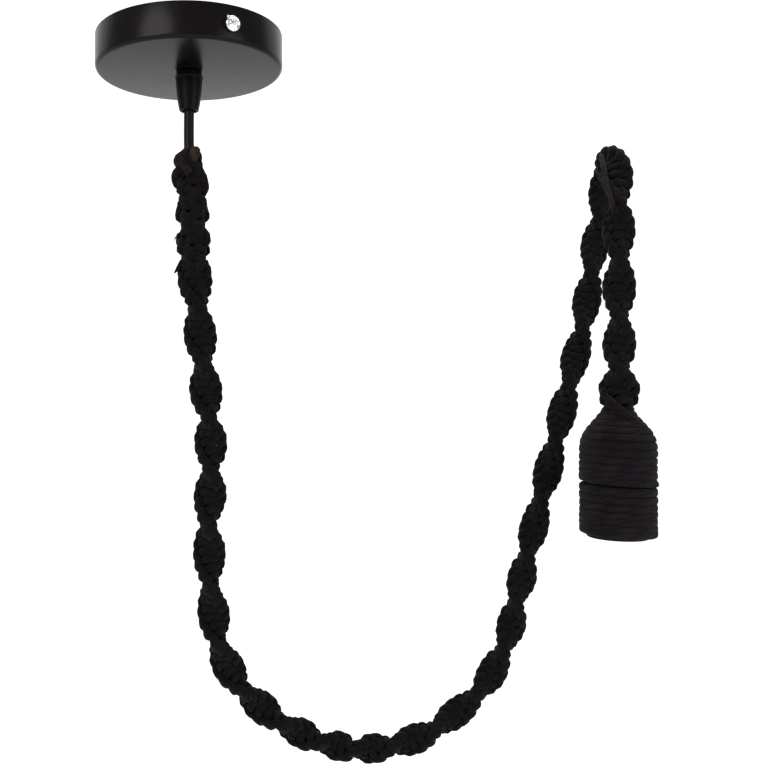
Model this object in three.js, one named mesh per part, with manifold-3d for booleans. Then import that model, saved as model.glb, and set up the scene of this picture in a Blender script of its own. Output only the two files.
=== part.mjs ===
// Pendant cord set: a ceiling canopy, a flex under a knotted rope cover and a rope-wound lamp holder.
// Millimetres, +Z up. The origin is the centre of the canopy on the ceiling, +X right, +Y away.
import * as THREE from 'three';
import { mergeVertices } from 'three/addons/utils/BufferGeometryUtils.js';
import Module from 'manifold-3d';

const wasm = await Module();
wasm.setup();

// Fits and smoothness
const TOUCH = 0.3;
const CANOPY_SIDES = 40;
const LARGE_SIDES = 28;
const SMALL_SIDES = 16;
const TINY_SIDES = 10;
const ARC_POINTS = 2;

// Ceiling canopy, a pressed steel cup
const CANOPY_DIAMETER = 120;
const CANOPY_HEIGHT = 21.4;
const CANOPY_SHEET = 1;
const CANOPY_EDGE_RADIUS = 2.5;

// Side screws, which hold the canopy to the bracket's bent ends
const SIDE_SCREW_DIRECTION = THREE.MathUtils.degToRad(-62.4);
const SIDE_SCREW_DROP = 10.4;
const SIDE_SCREW_THREAD = 4;
const SIDE_SCREW_LENGTH = 8;
const SIDE_SCREW_HEAD = 8.8;
const SIDE_SCREW_HEAD_HEIGHT = 2.6;
const SIDE_SCREW_RECESS = 4.8;
const SIDE_SCREW_RECESS_WIDTH = 1.1;
const SIDE_SCREW_RECESS_DEPTH = 1.4;

// Ceiling bracket, a bent steel strap
const BRACKET_WIDTH = 14;
const BRACKET_SHEET = 2;
const BRACKET_BEND = 3.5;
const BRACKET_TAB = 16;
const SLOT_PLACE = 44;
const SLOT_LENGTH = 12;
const SLOT_WIDTH = 4.6;

// Earth screw, with the ring terminal that it clamps
const EARTH_PLACE = 18;
const EARTH_THREAD = 4;
const EARTH_HEAD = 7;
const EARTH_HEAD_HEIGHT = 3;
const RING_SHEET = 0.8;
const RING_DIAMETER = 8.4;
const RING_TAIL_WIDTH = 3;
const RING_TAIL_LENGTH = 8;

// Terminal block, three ways side by side under the bracket
const BLOCK_PLACE = -23;
const BLOCK_WAYS = ['live', 'earth', 'neutral'];
const WAY_PITCH = 9;
const BLOCK_DEPTH = 16;
const BLOCK_HEIGHT = 11;
const BLOCK_BASE_HEIGHT = 7;
const BLOCK_TOWER_DEPTH = 10.4;
const BARREL_DIAMETER = 4.6;
const BARREL_BORE = 3;
const BARREL_LENGTH = 14;
const BARREL_DROP = 3.6;
const CLAMP_SCREW_DIAMETER = 2.4;
const CLAMP_SCREW_LENGTH = 4.2;
const CLAMP_SCREW_SPREAD = 3;
const FIXING_SCREW_DIAMETER = 2.5;
const FIXING_SCREW_HEAD = 4.4;
const FIXING_SCREW_HEAD_HEIGHT = 1.6;
const SCREW_SLOT_WIDTH = 0.7;
const SCREW_SLOT_DEPTH = 0.8;

// Cord grip: a threaded base through the canopy, its lock nut, a collet and a tapered cap
const GRIP_THREAD = 9.8;
const GRIP_STEM_RISE = 6.4;
const GRIP_FLANGE = 16.5;
const GRIP_FLANGE_HEIGHT = 2.4;
const GRIP_SPIGOT = 12.4;
const GRIP_SPIGOT_LENGTH = 9;
const GRIP_NUT_FLATS = 14;
const GRIP_NUT_HEIGHT = 4;
const CAP_RIDGE = 18.6;
const CAP_RIDGE_HEIGHT = 0.9;
const CAP_DIAMETER = 16.6;
const CAP_WAIST = 15;
const CAP_WAIST_DROP = 13;
const CAP_TIP = 12.1;
const CAP_LENGTH = 22;
const CAP_EDGE_RADIUS = 1.1;
const CAP_MOUTH = 9.2;
const CAP_MOUTH_DEPTH = 3.2;
const COLLET_LENGTH = 7;
const COLLET_TOP = 11.6;
const COLLET_TIP = 9.6;
const COLLET_SLIT = 0.8;

// Flex and its cores
const FLEX_DIAMETER = 6.6;
const FLEX_SIDES = 8;
const FLEX_STEPS = 80;
const CORE_DIAMETER = 2.4;
const CORE_SPREAD = 1.4;
const CORE_STEPS = 10;
const CORE_SIDES = 6;
const LEAD_SWEEP = 10;
const FLEX_TOP = -19.5;

// Knotted cover: a flat spiral band of half knots round the flex
const COVER_WIDTH = 19.4;
const COVER_THICKNESS = 10.8;
const COVER_SIDES = 8;
const COVER_RINGS_PER_BULGE = 4;
const COVER_FRAMES = 500;
const COVER_TOP = -70;

// Lamp holder, under its rope
const HOLDER_X = 269.6;
const HOLDER_Y = -16;
const HOLDER_TOP = -243.2;
const HOLDER_RIM = -318;
const HOLDER_SPLIT = -285.2;
const HOLDER_WALL = 1.6;
const SLEEVE_CLEARANCE = 1.2;
const SHOULDER_DIAMETER = 15;
const SHOULDER_BREAK_INSET = 4.3;
const SHOULDER_BREAK_DROP = 8.5;
const SHOULDER_DROP = 18.8;
const SPIGOT_LENGTH = 9;
const RIM_LIP = 3;
const RIM_TURN_IN = 1.5;
const RIM_ROUND = 0.6;
const NIPPLE_THREAD = 9.8;
const NIPPLE_LENGTH = 7;
const NIPPLE_FLANGE = 13;
const NIPPLE_FLANGE_HEIGHT = 2.2;
const NIPPLE_NUT_FLATS = 13.4;
const NIPPLE_NUT_HEIGHT = 3.4;
const INSERT_TOP = -268;
const INSERT_HEIGHT = 14;
const SLEEVE_BORE = 26.6;
const SLEEVE_SHEET = 0.5;
const SLEEVE_HEIGHT = 25.5;
const SLEEVE_FLOOR_HOLE = 15;
const CONTACT_WIDTH = 6;
const CONTACT_SHEET = 0.6;
const CONTACT_REACH = 5.4;
const CONTACT_DROP = 5;
const CONTACT_TIP = 4;
const POST_SPREAD = 7.5;
const POST_DIAMETER = 5.6;
const POST_HEIGHT = 6;
const POST_BORE = 3;
const POST_BORE_DEPTH = 4;
const POST_STEM = 3;
const POST_SCREW_DIAMETER = 2.2;
const POST_SCREW_LENGTH = 4;
const POST_SCREW_DROP = 2.6;

// Rope round the lamp holder
const ROPE_DIAMETER = 4.1;
const ROPE_PITCH = 4.44;
const ROPE_SIDES = 6;
const ROPE_STEPS_PER_TURN = 14;
const WRAP_GAP = 0.9;
const WRAP_RIM = 0.3;
const WRAP_JOINT = THREE.MathUtils.degToRad(90);
const WRAP_JOINT_HALF = THREE.MathUtils.degToRad(4);

// End knot above the lamp holder
const KNOT_HEIGHT = 21.8;
const KNOT_DIAMETER = 23.3;
const KNOT_NECK = 19.3;
const KNOT_TOP = 13.4;

// Sizes worked out from those above
const canopyRadius = CANOPY_DIAMETER / 2;
const canopyInside = canopyRadius - CANOPY_SHEET;
const plateBottom = -CANOPY_HEIGHT;
const plateTop = plateBottom + CANOPY_SHEET;
const flexBore = FLEX_DIAMETER / 2 + TOUCH;
const gripHole = GRIP_THREAD / 2 + TOUCH;
const flangeTop = plateBottom - TOUCH;
const capTop = flangeTop - GRIP_FLANGE_HEIGHT - TOUCH;
const spigotEnd = capTop + TOUCH - GRIP_SPIGOT_LENGTH;
const blockTop = -BRACKET_SHEET - TOUCH;
const blockLength = WAY_PITCH * BLOCK_WAYS.length;
const barrelHeight = blockTop - BARREL_DROP;
const coreRadius = CORE_DIAMETER / 2;
const sleeveRadius = SLEEVE_BORE / 2 + SLEEVE_SHEET;
const holderInside = sleeveRadius + SLEEVE_CLEARANCE + HOLDER_WALL + TOUCH;
const holderRadius = holderInside + HOLDER_WALL;
const shoulderBreak = holderRadius - SHOULDER_BREAK_INSET;
const rimOpening = holderInside - RIM_TURN_IN;
const insertRadius = holderInside - TOUCH - HOLDER_WALL - TOUCH;
const insertBottom = INSERT_TOP - INSERT_HEIGHT;
const nippleFlangeTop = HOLDER_TOP + TOUCH + NIPPLE_FLANGE_HEIGHT;
const nippleBottom = HOLDER_TOP - NIPPLE_LENGTH;
const flexEnd = nippleBottom - TOUCH;
const ropeOffset = ROPE_DIAMETER / 2 + TOUCH;
const woundRadius = (holderRadius + ropeOffset) / Math.cos(Math.PI / ROPE_STEPS_PER_TURN);
const wrapTop = HOLDER_TOP + ropeOffset * Math.SQRT1_2;
const wrapOffset = (ROPE_DIAMETER + WRAP_GAP - ROPE_PITCH) / 2;
const knotBottom = wrapTop + ROPE_DIAMETER / 2 + TOUCH;

// Route of the flex: down from the grip, round the loop, up to the fold and down to the lamp holder
const ROUTE = [
  [0, 0, FLEX_TOP],
  [0, 0, -46],
  [0, 0, -69],
  [1.1, 0, -92],
  [2.5, 0, -120],
  [3.4, 0, -149],
  [9.7, 0, -219.5],
  [13.2, 0, -253],
  [13.9, 1, -278],
  [12.2, 2.5, -310],
  [12.8, 4, -340],
  [15.1, 5, -369],
  [19.2, 6, -390.7],
  [25.7, 7, -407.3],
  [34.9, 8, -420.7],
  [46.7, 9, -433.2],
  [65, 10.5, -447],
  [88.9, 12, -457.9],
  [114, 13.5, -462.6],
  [140, 15, -459.4],
  [157.5, 16, -453.2],
  [172.9, 17, -443],
  [187.8, 18, -428.1],
  [200.9, 19.5, -411.2],
  [209.9, 21, -393],
  [217, 21.3, -370.5],
  [223.8, 21.6, -340],
  [231.4, 22, -299.7],
  [238.6, 23.4, -272.4],
  [247.2, 26.5, -248.4],
  [255.9, 31, -221.4],
  [264.8, 36.2, -191.3],
  [271.8, 40.1, -162.2],
  [275.7, 42, -135.5],
  [276.8, 42, -119.5],
  [278.8, 42, -103.5],
  [278.7, 38.1, -89],
  [276.9, 27.5, -78.4],
  [274.6, 13, -74.5],
  [272.3, -1.5, -78.4],
  [270.2, -12.1, -89],
  [HOLDER_X, HOLDER_Y, -103.5],
  [HOLDER_X, HOLDER_Y, -119.5],
  [HOLDER_X, HOLDER_Y, -135.5],
  [HOLDER_X, HOLDER_Y, -190],
  [HOLDER_X, HOLDER_Y, flexEnd],
];

// Distances along the flex at which the flat side of the cover faces the front, one half turn apart
const BULGES = [
  70, 92, 112, 134, 171, 207, 241, 276, 312, 349, 388, 424, 453, 481, 506, 535,
  568, 604, 639, 672, 706, 744, 783, 824, 865, 903, 941, 973, 1004, 1039, 1076, 1112,
];

const steel = new THREE.MeshStandardMaterial({ color: 0x9a9c9e, roughness: 0.35, metalness: 1 });
const chrome = new THREE.MeshStandardMaterial({ color: 0xd6d8da, roughness: 0.15, metalness: 1 });
const brass = new THREE.MeshStandardMaterial({ color: 0xb5924c, roughness: 0.35, metalness: 1 });
const paint = new THREE.MeshStandardMaterial({ color: 0x161417, roughness: 0.32, metalness: 0 });
const plastic = new THREE.MeshStandardMaterial({ color: 0x19171a, roughness: 0.5, metalness: 0 });
const nylon = new THREE.MeshStandardMaterial({ color: 0xd9d6cb, roughness: 0.5, metalness: 0 });
const porcelain = new THREE.MeshStandardMaterial({ color: 0xe8e4da, roughness: 0.3, metalness: 0 });
const sheath = new THREE.MeshStandardMaterial({ color: 0x141315, roughness: 0.4, metalness: 0 });
const rope = new THREE.MeshStandardMaterial({ color: 0x1a1718, roughness: 0.95, metalness: 0 });
const coreColours = { live: 0x6b3e20, neutral: 0x2450a0, earth: 0x5d8f2c };

const pendant = new THREE.Group();
const ceilingGroup = new THREE.Group();
ceilingGroup.rotation.z = SIDE_SCREW_DIRECTION;
const holderGroup = new THREE.Group();
holderGroup.position.set(HOLDER_X, HOLDER_Y, 0);
pendant.add(ceilingGroup, holderGroup);

function place(group, name, geometry, material) {
  const mesh = new THREE.Mesh(geometry, material);
  mesh.name = name;
  group.add(mesh);
}

// Solids for cutting and joining
function solid(geometry) {
  const bare = geometry.clone();
  bare.deleteAttribute('normal');
  bare.deleteAttribute('uv');
  const merged = mergeVertices(bare, 1e-4);
  return new wasm.Manifold(new wasm.Mesh({
    numProp: 3,
    vertProperties: new Float32Array(merged.attributes.position.array),
    triVerts: new Uint32Array(merged.index.array),
  }));
}

function cut(geometry, ...tools) {
  const body = tools.reduce((left, tool) => left.subtract(solid(tool)), solid(geometry));
  return geometryOf(body);
}

function join(geometry, ...others) {
  const body = others.reduce((sum, other) => sum.add(solid(other)), solid(geometry));
  return geometryOf(body);
}

function geometryOf(body) {
  const mesh = body.getMesh();
  const geometry = new THREE.BufferGeometry();
  geometry.setAttribute('position', new THREE.BufferAttribute(mesh.vertProperties, 3));
  geometry.setIndex(new THREE.BufferAttribute(mesh.triVerts, 1));
  return geometry;
}

// A turned piece from a closed outline of radius and height, listed either way round
function turned(outline, sides) {
  const points = outline.getPoints(ARC_POINTS);
  if (THREE.ShapeUtils.area(points) < 0) points.reverse();
  return new THREE.LatheGeometry(points, sides).rotateX(Math.PI / 2);
}

function outlineOf(points) {
  const outline = new THREE.Path(points.map(([radius, height]) => new THREE.Vector2(radius, height)));
  outline.closePath();
  return outline;
}

// A rod along Z between two heights
function rod(diameter, low, high, sides) {
  const length = high - low;
  const geometry = new THREE.CylinderGeometry(diameter / 2, diameter / 2, length, sides);
  return geometry.rotateX(Math.PI / 2).translate(0, 0, low + length / 2);
}

function block(width, depth, low, high) {
  return new THREE.BoxGeometry(width, depth, high - low).translate(0, 0, (low + high) / 2);
}

// A hexagon nut with its bore, between two heights
function nut(flats, bore, low, high) {
  const corners = flats / Math.cos(Math.PI / 6);
  const margin = 1;
  return cut(rod(corners, low, high, 6), rod(bore, low - margin, high + margin, SMALL_SIDES));
}

// A section swept along a curve
function circle(diameter, sides) {
  const corner = (index) => {
    const angle = (2 * Math.PI * index) / sides;
    return new THREE.Vector2(Math.cos(angle), Math.sin(angle)).multiplyScalar(diameter / 2);
  };
  return new THREE.Shape(Array.from({ length: sides }, (_, index) => corner(index)));
}

function tube(curve, diameter, sides, steps) {
  const options = { steps, bevelEnabled: false, extrudePath: curve };
  return new THREE.ExtrudeGeometry(circle(diameter, sides), options);
}

function curveThrough(points) {
  const places = points.map((point) => new THREE.Vector3(...point));
  return new THREE.CatmullRomCurve3(places, false, 'centripetal');
}

// Ceiling canopy: cup with a rounded edge, a hole for the grip and one for each side screw
function canopy() {
  const edge = canopyRadius - CANOPY_EDGE_RADIUS;
  const bend = plateBottom + CANOPY_EDGE_RADIUS;
  const outline = new THREE.Path();
  outline.moveTo(gripHole, plateBottom);
  outline.lineTo(edge, plateBottom);
  outline.absarc(edge, bend, CANOPY_EDGE_RADIUS, -Math.PI / 2, 0, false);
  outline.lineTo(canopyRadius, 0);
  outline.lineTo(canopyInside, 0);
  outline.lineTo(canopyInside, bend);
  outline.absarc(edge, bend, CANOPY_EDGE_RADIUS - CANOPY_SHEET, 0, -Math.PI / 2, true);
  outline.lineTo(gripHole, plateTop);
  outline.closePath();
  const screwHole = rod(SIDE_SCREW_THREAD + 2 * TOUCH, -CANOPY_DIAMETER, CANOPY_DIAMETER, SMALL_SIDES);
  screwHole.rotateY(Math.PI / 2).translate(0, 0, -SIDE_SCREW_DROP);
  return cut(turned(outline, CANOPY_SIDES), screwHole);
}

// Ceiling bracket: the strap's side view, as wide as the strap, with its slots and tapped holes
function bracket() {
  const flatInside = canopyInside * Math.cos(Math.PI / CANOPY_SIDES) - TOUCH;
  const reach = Math.sqrt(flatInside ** 2 - (BRACKET_WIDTH / 2) ** 2);
  const bend = reach - BRACKET_BEND;
  const inner = BRACKET_BEND - BRACKET_SHEET;
  const side = new THREE.Shape();
  side.moveTo(-reach, -BRACKET_TAB);
  side.lineTo(-reach, -BRACKET_BEND);
  side.absarc(-bend, -BRACKET_BEND, BRACKET_BEND, Math.PI, Math.PI / 2, true);
  side.lineTo(bend, 0);
  side.absarc(bend, -BRACKET_BEND, BRACKET_BEND, Math.PI / 2, 0, true);
  side.lineTo(reach, -BRACKET_TAB);
  side.lineTo(reach - BRACKET_SHEET, -BRACKET_TAB);
  side.lineTo(reach - BRACKET_SHEET, -BRACKET_BEND);
  side.absarc(bend, -BRACKET_BEND, inner, 0, Math.PI / 2, false);
  side.lineTo(-bend, -BRACKET_SHEET);
  side.absarc(-bend, -BRACKET_BEND, inner, Math.PI / 2, Math.PI, false);
  side.lineTo(BRACKET_SHEET - reach, -BRACKET_TAB);
  side.closePath();
  const options = { depth: BRACKET_WIDTH, bevelEnabled: false, curveSegments: 2 * ARC_POINTS };
  const strap = new THREE.ExtrudeGeometry(side, options);
  strap.rotateX(Math.PI / 2).translate(0, BRACKET_WIDTH / 2, 0);
  const screwHole = rod(SIDE_SCREW_THREAD + 2 * TOUCH, -CANOPY_DIAMETER, CANOPY_DIAMETER, SMALL_SIDES);
  screwHole.rotateY(Math.PI / 2).translate(0, 0, -SIDE_SCREW_DROP);
  return cut(strap, screwHole, slot(SLOT_PLACE), slot(-SLOT_PLACE), tapped(EARTH_THREAD, EARTH_PLACE),
    tapped(FIXING_SCREW_DIAMETER, fixingPlace()));
}

function slot(x) {
  const half = (SLOT_LENGTH - SLOT_WIDTH) / 2;
  const outline = new THREE.Shape();
  outline.absarc(half, 0, SLOT_WIDTH / 2, -Math.PI / 2, Math.PI / 2, false);
  outline.absarc(-half, 0, SLOT_WIDTH / 2, Math.PI / 2, 1.5 * Math.PI, false);
  const depth = 3 * BRACKET_SHEET;
  const options = { depth, bevelEnabled: false, curveSegments: 3 * ARC_POINTS };
  return new THREE.ExtrudeGeometry(outline, options).translate(x, 0, -depth / 2 - BRACKET_SHEET / 2);
}

function tapped(thread, x) {
  return rod(thread + 2 * TOUCH, -2 * BRACKET_SHEET, BRACKET_SHEET, SMALL_SIDES).translate(x, 0, 0);
}

// Side screw: pan head with a cross recess, standing out from the canopy's wall along +X
function sideScrew() {
  const shank = SIDE_SCREW_THREAD / 2;
  const head = SIDE_SCREW_HEAD / 2;
  const lead = 0.6;
  const outline = new THREE.Path();
  outline.moveTo(0, -SIDE_SCREW_LENGTH);
  outline.lineTo(shank - lead, -SIDE_SCREW_LENGTH);
  outline.lineTo(shank, lead - SIDE_SCREW_LENGTH);
  outline.lineTo(shank, 0);
  outline.lineTo(head, 0);
  outline.lineTo(head, SIDE_SCREW_HEAD_HEIGHT * 0.35);
  outline.quadraticCurveTo(head, SIDE_SCREW_HEAD_HEIGHT, head * 0.45, SIDE_SCREW_HEAD_HEIGHT);
  outline.lineTo(0, SIDE_SCREW_HEAD_HEIGHT);
  const floor = SIDE_SCREW_HEAD_HEIGHT - SIDE_SCREW_RECESS_DEPTH;
  const arm = block(SIDE_SCREW_RECESS, SIDE_SCREW_RECESS_WIDTH, floor, 2 * SIDE_SCREW_HEAD_HEIGHT);
  const crossArm = arm.clone().rotateZ(Math.PI / 2);
  const screw = cut(turned(outline, 2 * TINY_SIDES), arm, crossArm);
  return screw.rotateY(Math.PI / 2).translate(canopyRadius + TOUCH, 0, -SIDE_SCREW_DROP);
}

// Slotted screw with its head down and its shank up to a height
function slottedScrew(thread, head, headHeight, seat, tip) {
  const outline = outlineOf([
    [0, tip],
    [thread / 2, tip],
    [thread / 2, seat],
    [head / 2, seat],
    [head / 2, seat - headHeight],
    [0, seat - headHeight],
  ]);
  const bottom = seat - headHeight;
  const driver = block(2 * head, SCREW_SLOT_WIDTH, bottom - SCREW_SLOT_DEPTH, bottom + SCREW_SLOT_DEPTH);
  return cut(turned(outline, SMALL_SIDES), driver);
}

function earthScrew() {
  const seat = blockTop - RING_SHEET - TOUCH;
  const screw = slottedScrew(EARTH_THREAD, EARTH_HEAD, EARTH_HEAD_HEIGHT, seat, -TOUCH);
  return screw.translate(EARTH_PLACE, 0, 0);
}

// Ring terminal: an eye with a tail, crimped to the earth lead
function earthRing() {
  const eye = new THREE.Shape();
  const half = RING_TAIL_WIDTH / 2;
  const edge = Math.asin(half / (RING_DIAMETER / 2));
  eye.absarc(0, 0, RING_DIAMETER / 2, edge - Math.PI / 2, 1.5 * Math.PI - edge, false);
  eye.lineTo(-half, -RING_TAIL_LENGTH);
  eye.lineTo(half, -RING_TAIL_LENGTH);
  eye.closePath();
  const hole = new THREE.Path();
  hole.absarc(0, 0, EARTH_THREAD / 2 + TOUCH, 0, 2 * Math.PI, true);
  eye.holes.push(hole);
  const options = { depth: RING_SHEET, bevelEnabled: false, curveSegments: TINY_SIDES };
  return new THREE.ExtrudeGeometry(eye, options).translate(EARTH_PLACE, 0, blockTop - RING_SHEET);
}

// Terminal block: moulded base with a row of screw towers, hanging from the bracket
function wayPlace(way) {
  return BLOCK_PLACE + (way - (BLOCK_WAYS.length - 1) / 2) * -WAY_PITCH;
}

function fixingPlace() {
  return (wayPlace(0) + wayPlace(1)) / 2;
}

function terminalBlock() {
  const base = block(blockLength, BLOCK_DEPTH, blockTop - BLOCK_BASE_HEIGHT, blockTop);
  const tower = block(blockLength, BLOCK_TOWER_DEPTH, blockTop - BLOCK_HEIGHT, blockTop - 1);
  const body = join(base, tower).translate(BLOCK_PLACE, 0, 0);
  const wells = [];
  BLOCK_WAYS.forEach((_, way) => {
    const passage = rod(BARREL_DIAMETER + 2 * TOUCH, -BLOCK_DEPTH, BLOCK_DEPTH, SMALL_SIDES);
    wells.push(passage.rotateX(Math.PI / 2).translate(wayPlace(way), 0, barrelHeight));
    [-1, 1].forEach((side) => {
      const low = blockTop - BLOCK_HEIGHT - 1;
      const well = rod(CLAMP_SCREW_DIAMETER + 2 * TOUCH, low, barrelHeight, TINY_SIDES);
      wells.push(well.translate(wayPlace(way), side * CLAMP_SCREW_SPREAD, 0));
    });
  });
  const fixing = rod(FIXING_SCREW_DIAMETER + 2 * TOUCH, -CANOPY_HEIGHT, 0, SMALL_SIDES);
  return cut(body, ...wells, fixing.translate(fixingPlace(), 0, 0));
}

// Barrel: brass tube through the block, tapped from below for its two clamping screws
function barrel(way) {
  const half = BARREL_LENGTH / 2;
  const wall = outlineOf([
    [BARREL_BORE / 2, -half],
    [BARREL_DIAMETER / 2, -half],
    [BARREL_DIAMETER / 2, half],
    [BARREL_BORE / 2, half],
  ]);
  const pipe = turned(wall, SMALL_SIDES).rotateX(Math.PI / 2).translate(0, 0, barrelHeight);
  const low = barrelHeight - BARREL_DIAMETER;
  const threads = [-1, 1].map((side) => {
    const hole = rod(CLAMP_SCREW_DIAMETER + 2 * TOUCH, low, barrelHeight, TINY_SIDES);
    return hole.translate(0, side * CLAMP_SCREW_SPREAD, 0);
  });
  return cut(pipe, ...threads).translate(wayPlace(way), 0, 0);
}

function clampScrew(way, side) {
  const tip = barrelHeight - coreRadius - TOUCH;
  const low = tip - CLAMP_SCREW_LENGTH;
  const screw = rod(CLAMP_SCREW_DIAMETER, low, tip, TINY_SIDES);
  const driver = block(2 * CLAMP_SCREW_DIAMETER, SCREW_SLOT_WIDTH, low - 1, low + SCREW_SLOT_DEPTH);
  return cut(screw, driver).translate(wayPlace(way), side * CLAMP_SCREW_SPREAD, 0);
}

function fixingScrew() {
  const seat = blockTop - BLOCK_HEIGHT - TOUCH;
  const thread = FIXING_SCREW_DIAMETER;
  const screw = slottedScrew(thread, FIXING_SCREW_HEAD, FIXING_SCREW_HEAD_HEIGHT, seat, -TOUCH);
  return screw.translate(fixingPlace(), 0, 0);
}

// Cores in the canopy: out of the flex, over the stem and into their barrels
function upperCore(side, way, share, reach) {
  const start = FLEX_TOP + TOUCH;
  const stemTop = plateTop + GRIP_STEM_RISE;
  const over = stemTop + CORE_DIAMETER + 1;
  const x = wayPlace(way);
  const mouth = BLOCK_DEPTH / 2;
  return tube(curveThrough([
    [side * CORE_SPREAD, 0, start],
    [side * CORE_SPREAD, 0, stemTop],
    [side * CORE_SPREAD - 1, 3, over],
    [share * x, mouth + reach, over + 1],
    [x + 3, mouth + reach + 1.5, barrelHeight],
    [x, mouth + 2, barrelHeight],
    [x, CLAMP_SCREW_SPREAD - coreRadius, barrelHeight],
  ]), CORE_DIAMETER, CORE_SIDES, CORE_STEPS);
}

function earthLead() {
  const x = wayPlace(1);
  const mouth = BLOCK_DEPTH / 2;
  const tail = blockTop - RING_SHEET / 2;
  return tube(curveThrough([
    [x, -CLAMP_SCREW_SPREAD, barrelHeight],
    [x, -mouth - 2, barrelHeight],
    [x + LEAD_SWEEP / 2, -mouth - 0.8 * LEAD_SWEEP, barrelHeight - 1],
    [0, -mouth - LEAD_SWEEP, barrelHeight - 1],
    [EARTH_PLACE - 3, -mouth - 0.7 * LEAD_SWEEP, barrelHeight + 1],
    [EARTH_PLACE, -mouth - 3, tail],
    [EARTH_PLACE, -RING_TAIL_LENGTH - TOUCH, tail],
  ]), CORE_DIAMETER, CORE_SIDES, CORE_STEPS);
}

// Cord grip base: hollow stem through the plate, flange under it and spigot for the cap
function gripBase() {
  return turned(outlineOf([
    [flexBore, spigotEnd],
    [GRIP_SPIGOT / 2, spigotEnd],
    [GRIP_SPIGOT / 2, flangeTop - GRIP_FLANGE_HEIGHT],
    [GRIP_FLANGE / 2, flangeTop - GRIP_FLANGE_HEIGHT],
    [GRIP_FLANGE / 2, flangeTop],
    [GRIP_THREAD / 2, flangeTop],
    [GRIP_THREAD / 2, plateTop + GRIP_STEM_RISE],
    [flexBore, plateTop + GRIP_STEM_RISE],
  ]), SMALL_SIDES);
}

// Grip collet: split ring that the cap squeezes on the flex
function gripCollet() {
  const top = spigotEnd - TOUCH;
  const ring = turned(outlineOf([
    [flexBore, top - COLLET_LENGTH],
    [COLLET_TIP / 2, top - COLLET_LENGTH],
    [COLLET_TOP / 2, top],
    [flexBore, top],
  ]), SMALL_SIDES);
  const slit = block(COLLET_TOP, COLLET_SLIT, top - 2 * COLLET_LENGTH, top + 1);
  return cut(ring, slit.translate(COLLET_TOP / 2, 0, 0));
}

// Grip cap: ridge at its top edge, body that tapers faster below its waist, recessed mouth
function gripCap() {
  const bottom = capTop - CAP_LENGTH;
  const colletTop = spigotEnd - TOUCH;
  const colletEnd = colletTop - COLLET_LENGTH;
  const edge = CAP_TIP / 2 - CAP_EDGE_RADIUS;
  const outline = new THREE.Path();
  outline.moveTo(flexBore, bottom + CAP_MOUTH_DEPTH);
  outline.lineTo(CAP_MOUTH / 2, bottom + CAP_MOUTH_DEPTH);
  outline.lineTo(CAP_MOUTH / 2, bottom);
  outline.lineTo(edge, bottom);
  outline.absarc(edge, bottom + CAP_EDGE_RADIUS, CAP_EDGE_RADIUS, -Math.PI / 2, 0, false);
  outline.lineTo(CAP_WAIST / 2, capTop - CAP_WAIST_DROP);
  outline.lineTo(CAP_DIAMETER / 2, capTop - CAP_RIDGE_HEIGHT);
  outline.lineTo(CAP_RIDGE / 2, capTop - CAP_RIDGE_HEIGHT);
  outline.lineTo(CAP_RIDGE / 2, capTop);
  outline.lineTo(GRIP_SPIGOT / 2 + TOUCH, capTop);
  outline.lineTo(GRIP_SPIGOT / 2 + TOUCH, colletTop);
  outline.lineTo(COLLET_TOP / 2 + TOUCH, colletTop);
  outline.lineTo(COLLET_TIP / 2 + TOUCH, colletEnd - TOUCH);
  outline.lineTo(flexBore, colletEnd - TOUCH);
  outline.closePath();
  return turned(outline, SMALL_SIDES);
}

// Knotted cover: the outer form of the spiral band, cut through for the flex
function coverTurn(distance) {
  const found = BULGES.findIndex((bulge) => bulge > distance);
  const next = found < 0 ? BULGES.length - 1 : Math.max(found, 1);
  const step = BULGES[next] - BULGES[next - 1];
  return Math.PI * (next - 1 + (distance - BULGES[next - 1]) / step);
}

// Distances of the cover's rings along the flex, an equal turn apart
function coverRings(start, end) {
  const rings = [start];
  const turnStep = Math.PI / COVER_RINGS_PER_BULGE;
  const grain = (end - start) / COVER_FRAMES;
  for (let distance = start; distance < end - grain; distance += grain) {
    const turned = coverTurn(distance) - coverTurn(rings[rings.length - 1]);
    if (turned >= turnStep) rings.push(distance);
  }
  return [...rings, end];
}

function cover(route) {
  const length = route.getLength();
  const start = FLEX_TOP - COVER_TOP;
  const end = length - (knotBottom + KNOT_HEIGHT + TOUCH - flexEnd);
  const frames = route.computeFrenetFrames(COVER_FRAMES, false);
  const positions = [];
  const index = [];
  const rings = coverRings(start, end);
  rings.forEach((distance) => {
    const centre = route.getPointAt(distance / length);
    const turn = coverTurn(distance);
    const frame = Math.round((COVER_FRAMES * distance) / length);
    for (let side = 0; side < COVER_SIDES; side += 1) {
      const angle = (2 * Math.PI * side) / COVER_SIDES;
      const wide = (COVER_WIDTH / 2) * Math.cos(angle);
      const thick = (COVER_THICKNESS / 2) * Math.sin(angle);
      const point = centre.clone();
      point.addScaledVector(frames.normals[frame], wide * Math.sin(turn) + thick * Math.cos(turn));
      point.addScaledVector(frames.binormals[frame], wide * Math.cos(turn) - thick * Math.sin(turn));
      positions.push(point.x, point.y, point.z);
    }
  });
  for (let ring = 0; ring < rings.length - 1; ring += 1) {
    for (let side = 0; side < COVER_SIDES; side += 1) {
      const next = (side + 1) % COVER_SIDES;
      const low = ring * COVER_SIDES;
      const high = low + COVER_SIDES;
      index.push(low + side, high + side, low + next, low + next, high + side, high + next);
    }
  }
  const top = (rings.length - 1) * COVER_SIDES;
  for (let side = 1; side < COVER_SIDES - 1; side += 1) {
    index.push(0, side, side + 1, top, top + side + 1, top + side);
  }
  const band = new THREE.BufferGeometry();
  band.setAttribute('position', new THREE.Float32BufferAttribute(positions, 3));
  band.setIndex(index);
  return cut(band, tube(route, 2 * flexBore, FLEX_SIDES, FLEX_STEPS));
}

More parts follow.
